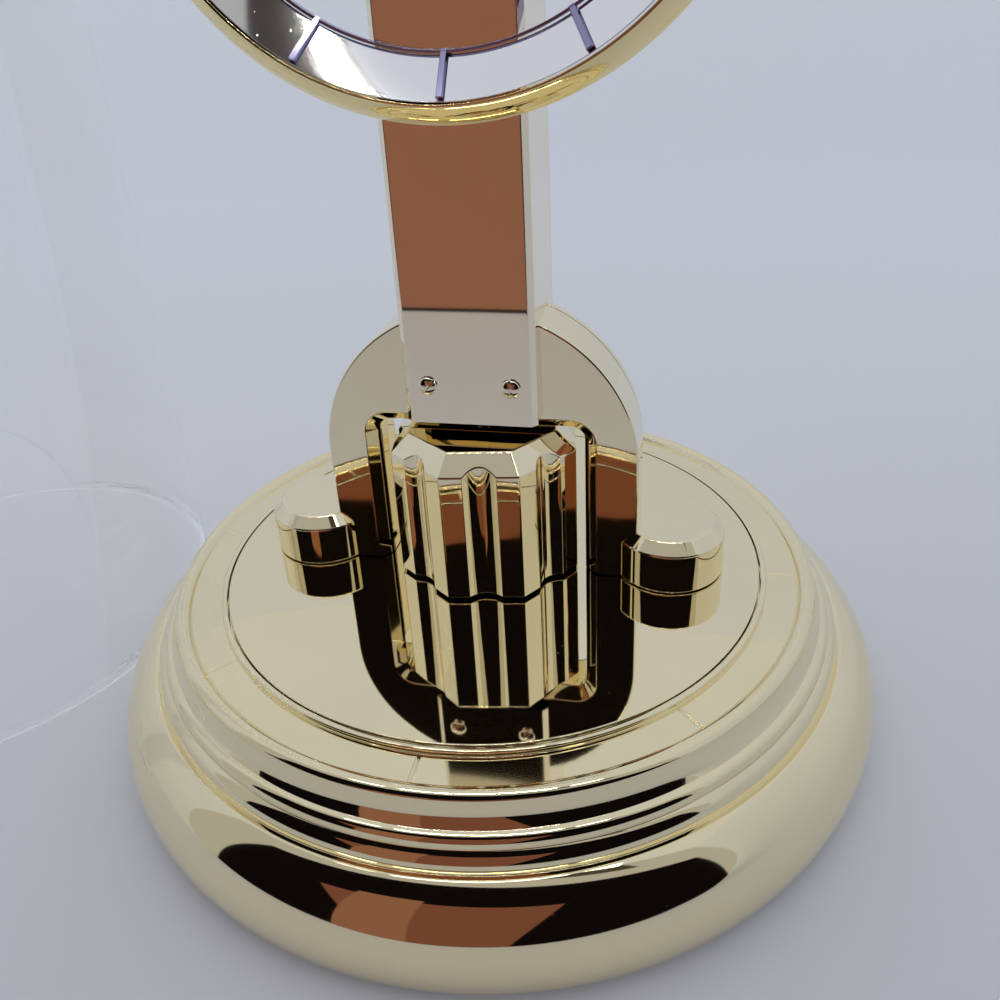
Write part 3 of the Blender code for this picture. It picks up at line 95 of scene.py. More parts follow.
def cards(name, look, rectangles):
    """Flat four-cornered cards of the studio, as one stage object that only reflections show."""
    points = np.array(rectangles, float).reshape(-1, 3)
    faces = np.arange(len(points)).reshape(-1, 4)
    mesh = bpy.data.meshes.new(name)
    mesh.from_pydata(points.tolist(), [], faces.tolist())
    mesh.materials.append(look)
    obj = bpy.data.objects.new(name, mesh)
    bpy.context.scene.collection.objects.link(obj)
    obj.visible_camera = False
    obj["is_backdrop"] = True
    return obj


def outline(corners, bows=0.0, ease=0.0002, closed=True, fine=10):
    """Points and directions along a line through corners in a plane.

    A side from A to B is A + (B - A) t + 4 bow t (1 - t) n, with n the unit normal to its
    left, so its middle stands off the chord by the bow. Each corner is replaced by a cubic
    that leaves and meets the sides in their own directions, one ease away from the corner.
    """
    corners = np.array(corners, float)
    sides = len(corners) if closed else len(corners) - 1
    bows = np.broadcast_to(bows, sides)
    ease = np.broadcast_to(ease, len(corners))
    fine = np.broadcast_to(fine, sides)
    pieces = []
    for k in range(sides):
        start, end = corners[k], corners[(k + 1) % len(corners)]
        way = end - start
        length = np.hypot(*way)
        left = np.array([-way[1], way[0]]) / length
        first = min(ease[k], 0.45 * length) / length if closed or k else 0.0
        last = min(ease[(k + 1) % len(corners)], 0.45 * length) / length if closed or k < sides - 1 else 0.0
        t = np.linspace(first, 1.0 - last, fine[k] + 1)[:, None]
        place = start + way * t + 4.0 * bows[k] * t * (1.0 - t) * left
        along = way + 4.0 * bows[k] * (1.0 - 2.0 * t) * left
        pieces.append((place, along / np.linalg.norm(along, axis=1, keepdims=True)))
    places, ways = [], []
    for k in range(sides):
        place, along = pieces[k]
        places.append(place)
        ways.append(along)
        if closed or k < sides - 1:
            after, onward = pieces[(k + 1) % sides]
            p0, p1 = place[-1], after[0]
            pull = 1.17 * np.hypot(*(p1 - p0))
            d0, d1 = along[-1] * pull, onward[0] * pull
            t = np.linspace(0.0, 1.0, 7)[1:-1, None]
            places.append((2 * t**3 - 3 * t**2 + 1) * p0 + (t**3 - 2 * t**2 + t) * d0
                          + (3 * t**2 - 2 * t**3) * p1 + (t**3 - t**2) * d1)
            slope = ((6 * t**2 - 6 * t) * (p0 - p1) + (3 * t**2 - 4 * t + 1) * d0
                     + (3 * t**2 - 2 * t) * d1)
            ways.append(slope / np.linalg.norm(slope, axis=1, keepdims=True))
    return np.concatenate(places), np.concatenate(ways)


floor_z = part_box("rubber_foot_1")[0].z - 0.00002
tent_left, tent_right = -0.78, 0.66
tent_front, tent_back, tent_top = -0.27, 0.80, 0.70
tent_path, tent_way = outline([(tent_left, tent_front), (tent_left, tent_back), (tent_right, tent_back),
                               (tent_right, tent_front)], ease=0.45, closed=False, fine=8)
tent_out = np.stack([-tent_way[:, 1], tent_way[:, 0]], -1)
cove = 0.30
sweep = np.linspace(0.0, math.pi / 2.0, 17)
inset = np.concatenate([cove * (1.0 - np.sin(sweep)), [0.0]])
height = np.concatenate([cove * (1.0 - np.cos(sweep)), [tent_top - floor_z]]) + floor_z
shape = (len(inset), len(tent_path))
flat = tent_path[None] - inset[:, None, None] * tent_out[None]
sheet = np.concatenate([flat, np.broadcast_to(height[:, None, None], (*shape, 1))], -1)
grid = np.arange(sheet[..., 0].size).reshape(shape)
quads = np.stack([grid[:-1, :-1], grid[:-1, 1:], grid[1:, 1:], grid[1:, :-1]], -1).reshape(-1, 4)
tent_mesh = bpy.data.meshes.new("floor")
tent_mesh.from_pydata(sheet.reshape(-1, 3).tolist(), [], quads.tolist() + [grid[0, ::-1].tolist()])
tent_mesh.polygons.foreach_set("use_smooth", np.ones(len(quads) + 1, bool))
lean = np.concatenate([sweep, sweep[-1:]])
sheet_normals = np.concatenate([-np.sin(lean)[:, None, None] * tent_out[None],
                                np.broadcast_to(np.cos(lean)[:, None, None], (*shape, 1))], -1)
tent_mesh.normals_split_custom_set_from_vertices(sheet_normals.reshape(-1, 3).tolist())
floor = bpy.data.objects.new("floor", tent_mesh)
bpy.context.scene.collection.objects.link(floor)
floor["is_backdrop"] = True
paper = bpy.data.materials.new("tent_paper")
paper.use_nodes = True
paper_shader = paper.node_tree.nodes["Principled BSDF"]
paper_shader.inputs["Base Color"].default_value = (0.74, 0.765, 0.80, 1.0)
paper_shader.inputs["Roughness"].default_value = 0.9
paper_shader.inputs["Specular IOR Level"].default_value = 0.1
paper_shader.inputs["Emission Color"].default_value = (0.87, 0.90, 1.0, 1.0)
paper_place = paper.node_tree.nodes.new("ShaderNodeTexCoord")
paper_height = paper.node_tree.nodes.new("ShaderNodeSeparateXYZ")
paper_glow = paper.node_tree.nodes.new("ShaderNodeMapRange")
paper_glow.inputs["From Min"].default_value = 0.0
paper_glow.inputs["From Max"].default_value = 0.30
paper_glow.inputs["To Min"].default_value = 0.13
paper_glow.inputs["To Max"].default_value = 0.21
paper.node_tree.links.new(paper_place.outputs["Object"], paper_height.inputs[0])
paper.node_tree.links.new(paper_height.outputs["Z"], paper_glow.inputs["Value"])
paper.node_tree.links.new(paper_glow.outputs["Result"], paper_shader.inputs["Emission Strength"])
tent_mesh.materials.append(paper)

open_left, open_right, open_top = -0.38, 0.50, 0.385
low, room_z = floor_z, floor_z + 0.0005
room_reach, room_depth = 3.0, 1.0
warm_y, brown_y = tent_front - 0.004, tent_front - 0.006
housing_y = tent_front + 0.004
lamp_y, lamp_z, lamp_count = tent_front + 0.03, 0.60, 41
bar_half, bar_z = 0.010, lamp_z + 0.001
cards("tent_roof", glow("tent_roof_cloth", (0.90, 0.93, 1.0), 0.66), [
    [(tent_left, tent_front, tent_top), (tent_right, tent_front, tent_top),
     (tent_right, tent_back, tent_top), (tent_left, tent_back, tent_top)]])
cards("tent_front_wall", glow("tent_front_cloth", (0.42, 0.42, 0.42), 1.0), [
    [(tent_left, tent_front, low), (open_left, tent_front, low),
     (open_left, tent_front, tent_top), (tent_left, tent_front, tent_top)],
    [(open_right, tent_front, low), (tent_right, tent_front, low),
     (tent_right, tent_front, tent_top), (open_right, tent_front, tent_top)],
    [(open_left, tent_front, open_top), (open_right, tent_front, open_top),
     (open_right, tent_front, tent_top), (open_left, tent_front, tent_top)]])
cards("room_dark", glow("room_shade", (0.004, 0.003, 0.003), 1.0), [
    [(-room_reach, tent_front - room_reach, room_z), (room_reach, tent_front - room_reach, room_z),
     (room_reach, tent_front, room_z), (-room_reach, tent_front, room_z)],
    [(-room_reach, tent_front - room_depth, low), (room_reach, tent_front - room_depth, low),
     (room_reach, tent_front - room_depth, room_reach), (-room_reach, tent_front - room_depth, room_reach)]])
cards("room_warm", glow("room_warm_board", (0.25, 0.115, 0.075), 1.0), [
    [(-0.115, warm_y, low), (-0.035, warm_y, low), (-0.035, warm_y, 0.20), (-0.115, warm_y, 0.20)]])
cards("room_brown", glow("room_brown_board", (0.17, 0.066, 0.045), 1.0), [
    [(-0.070, brown_y, low), (0.060, brown_y, low), (0.130, brown_y, 0.185), (-0.170, brown_y, 0.185)]])
cards("lamp_housing", glow("housing_shade", (0.05, 0.042, 0.036), 1.0), [
    [(-0.09, housing_y, 0.54), (0.34, housing_y, 0.50), (0.34, housing_y, tent_top),
     (-0.09, housing_y, tent_top)]])
lamp_x = np.linspace(-0.17, 0.17, lamp_count)
lamp_corner = np.array([(-0.0022, -0.008, 0.0), (0.0022, -0.008, 0.0), (0.0022, 0.008, 0.0),
                        (-0.0022, 0.008, 0.0)])
lamp_place = np.stack([lamp_x, np.full(lamp_count, lamp_y), np.full(lamp_count, lamp_z)], -1)
lamps = cards("lamp_strip", glow("lamp", (1.0, 0.98, 0.93), 60.0), lamp_place[:, None] + lamp_corner)
lamp_bars = cards("lamp_bars", glow("lamp_bar", (1.0, 0.98, 0.94), 9.0), [
    [(x0, lamp_y - bar_half, bar_z), (x1, lamp_y - bar_half, bar_z), (x1, lamp_y + bar_half, bar_z),
     (x0, lamp_y + bar_half, bar_z)] for x0, x1 in ((-0.30, -0.21), (0.21, 0.30))])
lamps.visible_diffuse = False
lamp_bars.visible_diffuse = False

world = bpy.data.worlds.new("studio")
bpy.context.scene.world = world
world.use_nodes = True
tree = world.node_tree
tree.nodes.clear()
ray = tree.nodes.new("ShaderNodeLightPath")
seen_air = tree.nodes.new("ShaderNodeBackground")
seen_air.inputs["Color"].default_value = (0.48, 0.51, 0.585, 1.0)
dark_air = tree.nodes.new("ShaderNodeBackground")
dark_air.inputs["Color"].default_value = (0.004, 0.003, 0.003, 1.0)
mix = tree.nodes.new("ShaderNodeMixShader")
out = tree.nodes.new("ShaderNodeOutputWorld")
tree.links.new(ray.outputs["Is Camera Ray"], mix.inputs[0])
tree.links.new(dark_air.outputs[0], mix.inputs[1])
tree.links.new(seen_air.outputs[0], mix.inputs[2])
tree.links.new(mix.outputs[0], out.inputs["Surface"])
bpy.context.scene.view_settings.view_transform = "Standard"


# Base shell: one spun brass skin, plated pale gold and polished, with a seat for the
# dome between two beads, a cove, two small beads, a lip and a bellied skirt.
# Eight short lines are cut across the seat.

def outward(line):
    """Normals of a plane line, to the right of its way where it turns counter-clockwise."""
    place, way = line
    x, y = place.T
    area = np.sum(x * np.roll(y, -1) - y * np.roll(x, -1))
    return np.stack([way[:, 1], -way[:, 0]], -1) * (1.0 if area > 0.0 else -1.0)


def skin(name, patches, look, body, *replaced):
    """One mesh from grids of points with exact normals.

    A patch is (points, normals, rows closed, columns closed). Point (i, j) is joined to
    (i + 1, j) and (i, j + 1); points that coincide are welded, quads that collapse at a pole
    become triangles, and each patch is turned so that its faces agree with its normals.
    """
    corner_places, corner_normals = [], []
    for points, normals, close_rows, close_columns in patches:
        grid = np.arange(points.shape[0] * points.shape[1]).reshape(points.shape[:2])
        lower, upper = (grid, np.roll(grid, -1, 0)) if close_rows else (grid[:-1], grid[1:])
        quad = np.stack([lower, np.roll(lower, -1, 1), np.roll(upper, -1, 1), upper], -1)
        quad = (quad if close_columns else quad[:, :-1]).reshape(-1, 4)
        place = points.reshape(-1, 3)[quad]
        normal = np.broadcast_to(normals, points.shape).reshape(-1, 3)[quad]
        facing = np.cross(place[:, 2] - place[:, 0], place[:, 3] - place[:, 1])
        if np.sum(facing * normal.sum(1)) < 0.0:
            place, normal = place[:, ::-1], normal[:, ::-1]
        corner_places.append(place)
        corner_normals.append(normal)
    places = np.concatenate(corner_places)
    normals = np.concatenate(corner_normals)
    keys = np.round(places.reshape(-1, 3) * 2.0e6).astype(np.int64)
    vertices, first, index = np.unique(keys, axis=0, return_index=True, return_inverse=True)
    index = index.reshape(-1, 4)
    same = index == np.roll(index, -1, 1)
    whole = same.sum(1) == 0
    faces = index[whole].tolist()
    loops = [normals[whole].reshape(-1, 3)]
    for k in range(4):
        part = (same.sum(1) == 1) & same[:, k]
        keep = [c for c in range(4) if c != k]
        faces += index[part][:, keep].tolist()
        loops.append(normals[part][:, keep].reshape(-1, 3))
    mesh = bpy.data.meshes.new(name)
    mesh.from_pydata(places.reshape(-1, 3)[first].tolist(), [], faces)
    mesh.polygons.foreach_set("use_smooth", np.ones(len(faces), bool))
    mesh.normals_split_custom_set(np.concatenate(loops).tolist())
    mesh.materials.append(look)
    obj = bpy.data.objects.new(name, mesh)
    bpy.context.scene.collection.objects.link(obj)
    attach(obj, body)
    if replaced:
        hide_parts(*replaced)
    return obj


def ring_angles(columns):
    """Even angles round a full turn."""
    return np.arange(columns) * math.tau / columns


def spun(line, angles, centre=(0.0, 0.0, 0.0)):
    """Surface of revolution: radius and height of the line at each row, angle at each column."""
    place, normal = line[0], outward(line)
    spoke = np.stack([np.cos(angles), np.sin(angles)], -1)
    points = np.concatenate([place[:, None, :1] * spoke, np.broadcast_to(
        place[:, None, 1:], (len(place), len(angles), 1))], -1)
    normals = np.concatenate([normal[:, None, :1] * spoke, np.broadcast_to(
        normal[:, None, 1:], (len(place), len(angles), 1))], -1)
    return points + np.array(centre), normals


def polished(name, colour, roughness, wave, wave_size, dust=0.35, shade=0.06):
    """Bright plating on metal: broad faint changes of tone, a finish that is a little duller in
    places, a long shallow undulation of the surface, and fine dust as pale dull specks."""
    look = bpy.data.materials.new(name)
    look.use_nodes = True
    tree = look.node_tree
    shader = tree.nodes["Principled BSDF"]
    shader.inputs["Metallic"].default_value = 1.0
    place = tree.nodes.new("ShaderNodeTexCoord")
    tone = tree.nodes.new("ShaderNodeTexNoise")
    tone.inputs["Scale"].default_value = 35.0
    tone.inputs["Detail"].default_value = 4.0
    tint = tree.nodes.new("ShaderNodeMix")
    tint.data_type = "RGBA"
    tint.inputs["A"].default_value = (*[c * (1.0 - shade) for c in colour], 1.0)
    tint.inputs["B"].default_value = (*[min(1.0, c * (1.0 + shade * 0.4)) for c in colour], 1.0)
    speck = tree.nodes.new("ShaderNodeTexVoronoi")
    speck.inputs["Scale"].default_value = 420.0
    near = tree.nodes.new("ShaderNodeMapRange")
    near.inputs["From Min"].default_value = 0.045
    near.inputs["From Max"].default_value = 0.09
    near.inputs["To Min"].default_value = dust
    near.inputs["To Max"].default_value = 0.0
    patch = tree.nodes.new("ShaderNodeTexNoise")
    patch.inputs["Scale"].default_value = 90.0
    some = tree.nodes.new("ShaderNodeMapRange")
    some.inputs["From Min"].default_value = 0.5
    some.inputs["From Max"].default_value = 0.62
    amount = tree.nodes.new("ShaderNodeMath")
    amount.operation = "MULTIPLY"
    dusty = tree.nodes.new("ShaderNodeMix")
    dusty.data_type = "RGBA"
    dusty.inputs["B"].default_value = (0.8, 0.78, 0.74, 1.0)
    dull = tree.nodes.new("ShaderNodeMapRange")
    dull.inputs["To Min"].default_value = roughness
    dull.inputs["To Max"].default_value = 0.55
    swell = tree.nodes.new("ShaderNodeTexNoise")
    swell.inputs["Scale"].default_value = 1.0 / wave_size
    swell.inputs["Detail"].default_value = 1.0
    relief = tree.nodes.new("ShaderNodeBump")
    relief.inputs["Distance"].default_value = wave
    link = tree.links.new
    for node in (tone, speck, patch, swell):
        link(place.outputs["Object"], node.inputs["Vector"])
    link(tone.outputs["Fac"], tint.inputs["Factor"])
    link(speck.outputs["Distance"], near.inputs["Value"])
    link(patch.outputs["Fac"], some.inputs["Value"])
    link(near.outputs["Result"], amount.inputs[0])
    link(some.outputs["Result"], amount.inputs[1])
    link(amount.outputs[0], dusty.inputs["Factor"])
    link(tint.outputs["Result"], dusty.inputs["A"])
    link(dusty.outputs["Result"], shader.inputs["Base Color"])
    link(amount.outputs[0], dull.inputs["Value"])
    link(dull.outputs["Result"], shader.inputs["Roughness"])
    link(swell.outputs["Fac"], relief.inputs["Height"])
    link(relief.outputs["Normal"], shader.inputs["Normal"])
    return look


seat_z = 0.0279
base_gold = polished("base_gold", (0.94, 0.84, 0.57), 0.045, 0.00003, 0.02)
shell_corners = np.array([
    (84.8, -28.3), (84.3, -17.0), (77.7, -10.1), (76.6, -10.4), (74.7, -6.8), (72.9, -4.4),
    (71.3, 0.5), (67.9, 0.0), (67.7, 0.0), (62.4, 0.0), (61.5, 0.0), (60.3, 1.2), (60.3, -1.1),
    (57.0, -1.1), (57.0, -2.5), (69.9, -2.5), (71.5, -5.8), (73.8, -11.8), (76.8, -12.8),
    (84.1, -25.2), (84.1, -28.3)]) / 1000.0
shell_bows = np.array([1.23, 0.76, 0, 0.6, 0.6, -0.4, 1.2, 0, 0, 0, 0.7, 0, 0, 0, 0, 0, 0, 0, -1.7, 0,
                       0]) / -1000.0
shell_ease = np.array([0.3, 0.6, 0.25, 0.15, 0.12, 0.12, 0.15, 0.12, 0.05, 0.05, 0.12, 0.15, 0.1,
                       0.1, 0.1, 0.5, 0.5, 0.5, 0.5, 1.0, 0.3]) / 1000.0
shell_fine = [16, 20, 1, 12, 12, 10, 16, 1, 4, 1, 12, 1, 1, 1, 1, 1, 1, 1, 8, 1, 1]
shell_line = outline(shell_corners, shell_bows, shell_ease, True, shell_fine)
line_angles = np.arange(8) * math.tau / 8.0
near_line = np.linspace(-0.016, 0.016, 21)
shell_angles = np.unique(np.concatenate([ring_angles(288), np.mod(
    (line_angles[:, None] + near_line).ravel(), math.tau)]).round(7))
shell_points, shell_normals = spun(shell_line, shell_angles, (0.0, 0.0, seat_z))
line_width, line_depth = 0.00026, 0.00022
off = (shell_angles + math.tau / 16.0) % (math.tau / 8.0) - math.tau / 16.0
across = 0.065 * off
dip = line_depth * np.exp(-(across / line_width) ** 2)
radius = shell_line[0][:, 0]
in_seat = (radius > 0.0623) & (radius < 0.0678) & (np.abs(shell_line[0][:, 1]) < 0.00001)
shell_points[in_seat, :, 2] -= dip
slope = dip * 2.0 * across / line_width ** 2
tilt = np.stack([np.sin(shell_angles) * slope, -np.cos(shell_angles) * slope, np.ones_like(slope)], -1)
shell_normals[in_seat] = tilt / np.linalg.norm(tilt, axis=-1, keepdims=True)
shell = skin("shell_spun", [(shell_points, shell_normals, True, True)], base_gold, "clock", "base_shell")


# Mirror disc: a flat polished plate dropped into the shell's ledge, with an eased edge.

disc_gold = polished("disc_gold", (0.94, 0.84, 0.58), 0.03, 0.000008, 0.03)
disc_line = outline(np.array([(3.3, -0.8), (60.0, -0.8), (60.0, 1.2), (3.3, 1.2)]) / 1000.0, ease=0.0003,
                    fine=1)
disc = skin("disc_plate", [(*spun(disc_line, ring_angles(192), (0.0, 0.0, seat_z)), True, True)],
            disc_gold, "clock", "mirror_disc")


# Arch: a cast front shell with a flat back plate screwed to it, plated yellow gold.
# The opening has rounded top corners and a wide bevel at the front and at the back.

def arch_paths(count):
    """Outer and inner path of the arch in the plane of x and z, with outward normals.

    Outside, legs and a half circle. Inside, legs and a top joined by round corners. Both are
    read at the same shares of their length.
    """
    share = np.linspace(0.0, 1.0, count)
    arch_r, spring_z, leg = 0.0338, 0.0566, 0.0272
    total = 2.0 * leg + math.pi * arch_r
    at = share * total
    angle = np.clip((at - leg) / arch_r, 0.0, math.pi)
    outer = np.stack([arch_r * np.cos(angle), spring_z + arch_r * np.sin(angle)], -1)
    outer[:, 1] += np.minimum(at - leg, 0.0) + np.minimum(total - leg - at, 0.0)
    outer_normal = np.stack([np.cos(angle), np.sin(angle)], -1)
    side, top, corner = 0.0250, 0.0668, 0.0055
    arc = corner * math.pi / 2.0
    leg = top - corner - (spring_z - leg)
    flat = 2.0 * (side - corner)
    total = 2.0 * leg + 2.0 * arc + flat
    at = share * total
    angle = np.clip((at - leg) / corner, 0.0, math.pi / 2.0) + np.clip(
        (at - leg - arc - flat) / corner, 0.0, math.pi / 2.0)
    normal = np.stack([np.cos(angle), np.sin(angle)], -1)
    middle_x = side - corner - np.clip(at - leg - arc, 0.0, flat)
    inner = np.stack([middle_x, np.full(count, top - corner)], -1) + corner * normal
    inner[:, 1] += np.minimum(at - leg, 0.0) + np.minimum(total - leg - at, 0.0)
    return outer, outer_normal, inner, -normal


def arch_part(section, count=300):
    """Section carried along the arch. Across, its first half is measured inwards from the outer
    path and its second half, past 10 mm, from the inner path into the opening. The ends are
    closed to a point in their plane."""
    place, normal = section[0], outward(section)
    outer, outer_normal, inner, inner_normal = arch_paths(count)
    from_outer = place[:, 0] < 0.005
    width = place[:, 0][None, :, None]
    plane = np.where(from_outer[None, :, None], outer[:, None] - width * outer_normal[:, None],
                     inner[:, None] + (width - 0.010) * inner_normal[:, None])
    lean = np.where(from_outer[None, :, None], -outer_normal[:, None], inner_normal[:, None]) \
        * normal[:, 0][None, :, None]
    shape = plane.shape[:2]
    points = np.stack([plane[..., 0], np.broadcast_to(place[:, 1], shape), plane[..., 1]], -1)
    normals = np.stack([lean[..., 0], np.broadcast_to(normal[:, 1], shape), lean[..., 1]], -1)
    patches = [(points, normals, False, True)]
    for end in (0, -1):
        rim = points[end]
        middle = np.broadcast_to(rim.mean(0), rim.shape)
        patches.append((np.stack([rim, middle]), np.array([0.0, 0.0, -1.0]), False, True))
    return patches


arch_gold = polished("arch_gold", (0.95, 0.85, 0.60), 0.035, 0.00006, 0.016)
arch_section = outline(np.array([(0.0, 4.7), (0.0, -7.0), (10.0, -7.0), (12.6, -4.4), (12.6, 4.7)]) / 1000.0,
                       ease=[0.0002, 0.0005, 0.0002, 0.0002, 0.0002], fine=1)
arch_front = skin("arch_casting", arch_part(arch_section), arch_gold, "clock", "arch_front")
back_section = outline(np.array([(0.0, 7.0), (0.0, 5.0), (12.6, 5.0), (10.0, 7.0)]) / 1000.0,
                       ease=[0.0004, 0.0002, 0.0002, 0.0002], fine=1)
arch_back = skin("arch_back_plate", arch_part(back_section), arch_gold, "clock", "arch_back")


# Side feet: two turned pucks with a wide chamfer, plated like the arch, whose inner
# sides run up against its legs.

foot_line = outline(np.array([(0.0, 29.4), (12.0, 29.4), (12.0, 38.4), (9.6, 40.8), (0.0, 40.8)]) / 1000.0,
                    ease=[0.0, 0.0003, 0.0003, 0.0003, 0.0], closed=False, fine=1)
foot_x = 0.0402
for side, name in ((-1.0, "left"), (1.0, "right")):
    puck = spun(foot_line, ring_angles(160), (side * foot_x, 0.0, 0.0))
    foot = skin("side_puck_" + name, [(*puck, False, True)], arch_gold, "clock", "side_foot_" + name)


# Pillar: a folded front channel with narrow chamfers and a flat back, standing on the
# arch and ending under the movement drum. Two domed slotted screws hold its front.

dial_z, drum_r, dial_y = 0.1818, 0.0220, -0.0111
pillar_half, pillar_foot, drum_reach = 0.01373, 0.0670, drum_r + 0.0003


def u_channel(half, front, rear, wall, chamfer, low_z, reach):
    """A channel open behind: outer and inner faces run from foot to drum, joined at the foot, at
    the top and along both rear edges."""
    outer = outline([(-half, rear), (-half, front + chamfer), (chamfer - half, front),
                     (half - chamfer, front), (half, front + chamfer), (half, rear)],
                    ease=0.00018, closed=False, fine=24)
    inside = half - wall
    inner = outline([(-inside, rear), (-inside, front + wall), (-inside + 0.0001, front + wall),
                     (inside - 0.0001, front + wall), (inside, front + wall), (inside, rear)],
                    ease=0.00003, closed=False, fine=24)
    patches = []
    rims = []
    for (place, way), sign in ((outer, 1.0), (inner, -1.0)):
        normal = np.stack([-way[:, 1], way[:, 0]], -1) * -sign
        top_z = dial_z - np.sqrt(reach ** 2 - place[:, 0] ** 2)
        foot = np.column_stack([place, np.full(len(place), low_z)])
        head = np.column_stack([place, top_z])
        level = np.column_stack([normal, np.zeros(len(place))])
        patches.append((np.stack([foot, head]), np.stack([level, level]), False, False))
        rims.append((foot, head))
    (foot_a, head_a), (foot_b, head_b) = rims
    patches.append((np.stack([foot_a, foot_b]), np.array([0.0, 0.0, -1.0]), False, False))
    patches.append((np.stack([head_a, head_b]), np.array([0.0, 0.0, 1.0]), False, False))
    for end in (0, -1):
        strip = np.stack([np.stack([foot_a[end], head_a[end]]), np.stack([foot_b[end], head_b[end]])])
        patches.append((strip, np.array([0.0, 1.0, 0.0]), False, False))
    return patches


pillar_gold = polished("pillar_gold", (0.95, 0.86, 0.68), 0.03, 0.000012, 0.03)
channel = u_channel(pillar_half, dial_y, 0.0108, 0.0014, 0.0012, pillar_foot, drum_reach)
pillar_front = skin("pillar_channel", channel, pillar_gold, "clock", "pillar_front")


def flat_plate(half, low_y, high_y, low_z, reach, edge):
    """A plate of even thickness with eased edges: the section of a rounded box in x and y, carried
    from the foot to the drum, with both ends closed."""
    section = outline([(-half, low_y), (half, low_y), (half, high_y), (-half, high_y)], ease=edge, fine=24)
    place, normal = section[0], outward(section)
    top_z = dial_z - np.sqrt(reach ** 2 - place[:, 0] ** 2)
    foot = np.column_stack([place, np.full(len(place), low_z)])
    head = np.column_stack([place, top_z])
    level = np.column_stack([normal, np.zeros(len(place))])
    patches = [(np.stack([foot, head]), np.stack([level, level]), False, True)]
    for rim, facing in ((foot, -1.0), (head, 1.0)):
        spine = rim.copy()
        spine[:, 1] = (low_y + high_y) / 2.0
        patches.append((np.stack([rim, spine]), np.array([0.0, 0.0, facing]), False, True))
    return patches


back_sheet = flat_plate(pillar_half, 0.0111, 0.0125, pillar_foot, drum_reach, 0.0003)
pillar_back = skin("pillar_back_plate", back_sheet, pillar_gold, "clock", "pillar_back")


def forward_facing(vectors):
    """Turns a shape that faces up so that it faces the front of the clock."""
    return np.stack([vectors[..., 0], -vectors[..., 2], vectors[..., 1]], -1)


def slotted_head(name, centre, radius, rise, spin, look, body, *replaced, depth=0.00045, width=0.00028):
    """A domed screw head facing forward with a slot across it.

    Height is rise times the square root of 1 - 0.92 (r / radius) squared, less a smooth trough
    along the slot; normals come from its slopes by central differences.
    """
    def height(x, y):
        dome = rise * np.sqrt(np.clip(1.0 - 0.92 * (x * x + y * y) / radius ** 2, 0.0, 1.0))
        off = np.abs(x * math.sin(spin) - y * math.cos(spin))
        edge = np.clip((width * 1.25 - off) / (width * 0.5), 0.0, 1.0)
        return dome - depth * edge * edge * (3.0 - 2.0 * edge)
    r = np.linspace(0.0, 1.0, 36)[:, None] * radius
    a = ring_angles(120)[None]
    x, y = r * np.cos(a), r * np.sin(a)
    step = radius / 400.0
    slope_x = (height(x + step, y) - height(x - step, y)) / (2.0 * step)
    slope_y = (height(x, y + step) - height(x, y - step)) / (2.0 * step)
    up = np.stack([-slope_x, -slope_y, np.ones_like(x)], -1)
    up /= np.linalg.norm(up, axis=-1, keepdims=True)
    points = np.stack([x, y, height(x, y)], -1)
    side = np.stack([np.cos(a[0]), np.sin(a[0]), np.zeros(a.shape[1])], -1)
    wall = np.stack([points[-1], np.column_stack([points[-1][:, :2], np.full(a.shape[1], -0.0004)])])
    patches = [(points, up, False, True), (wall, np.stack([side, side]), False, True),
               (np.stack([wall[1], np.zeros_like(wall[1]) + (0.0, 0.0, -0.0004)]), np.array([0.0, 0.0, -1.0]),
                False, True)]
    placed = [(forward_facing(p) + np.array(centre), forward_facing(n), u, v) for p, n, u, v in patches]
    return skin(name, placed, look, body, *replaced)


screw_gold = polished("screw_gold", (0.90, 0.83, 0.68), 0.10, 0.00001, 0.004)
for number, x, spin in ((1, -0.00856, math.radians(40.0)), (2, 0.00856, math.radians(97.0))):
    head = slotted_head("pillar_screw_head_%d" % number, (x, -0.0112, 0.0753), 0.0020, 0.0010, spin,
                        screw_gold, "clock", "pillar_screw_%d" % number)


# Pendulum: an eight-sided cast weight with a round flute down each side, a wide chamfer
# at the top and a cup below, plated yellow gold. It turns to and fro under the arch.

outer_r = 0.0213
pendulum_gold = polished("pendulum_gold", (0.95, 0.85, 0.60), 0.03, 0.00005, 0.010)
face_turn = math.radians(-81.5)
apothem, half_side = outer_r * math.cos(math.pi / 8.0), outer_r * math.sin(math.pi / 8.0)
flute_half, flute_depth = 0.0035, 0.0016
around = face_turn + np.arange(8) * math.tau / 8.0
faces_out = np.stack([np.cos(around), np.sin(around)], -1)
faces_along = np.stack([-np.sin(around), np.cos(around)], -1)
marks = np.array([-half_side, -flute_half, flute_half])
octagon = (faces_out[:, None] * apothem + faces_along[:, None] * marks[:, None]).reshape(-1, 2)
body_line = outline(octagon, np.tile([0.0, flute_depth, 0.0], 8), np.tile([0.0004, 0.00015, 0.00015], 8),
                    True, np.tile([2, 16, 2], 8))
body_place, body_normal = body_line[0], outward(body_line)
facing = np.argmax(body_place @ faces_out.T, axis=1)
out_by = np.max(body_place @ faces_out.T, axis=1)
beside = np.abs(np.sum(body_place * faces_along[facing], axis=1))
level = np.where((beside > half_side - 0.0005)[:, None], body_normal, faces_out[facing])
foot_z, chamfer, top_z = 0.0299, 0.0040, 0.0632
edge, bore_r, cup_r, cup_z = 0.00025, 0.0018, 0.0145, 0.0527
wall_top = top_z - chamfer + apothem - out_by
body_angle = np.arctan2(body_place[:, 1], body_place[:, 0])
spoke = np.stack([np.cos(body_angle), np.sin(body_angle)], -1)
upper = body_place * ((apothem - chamfer) / out_by)[:, None]


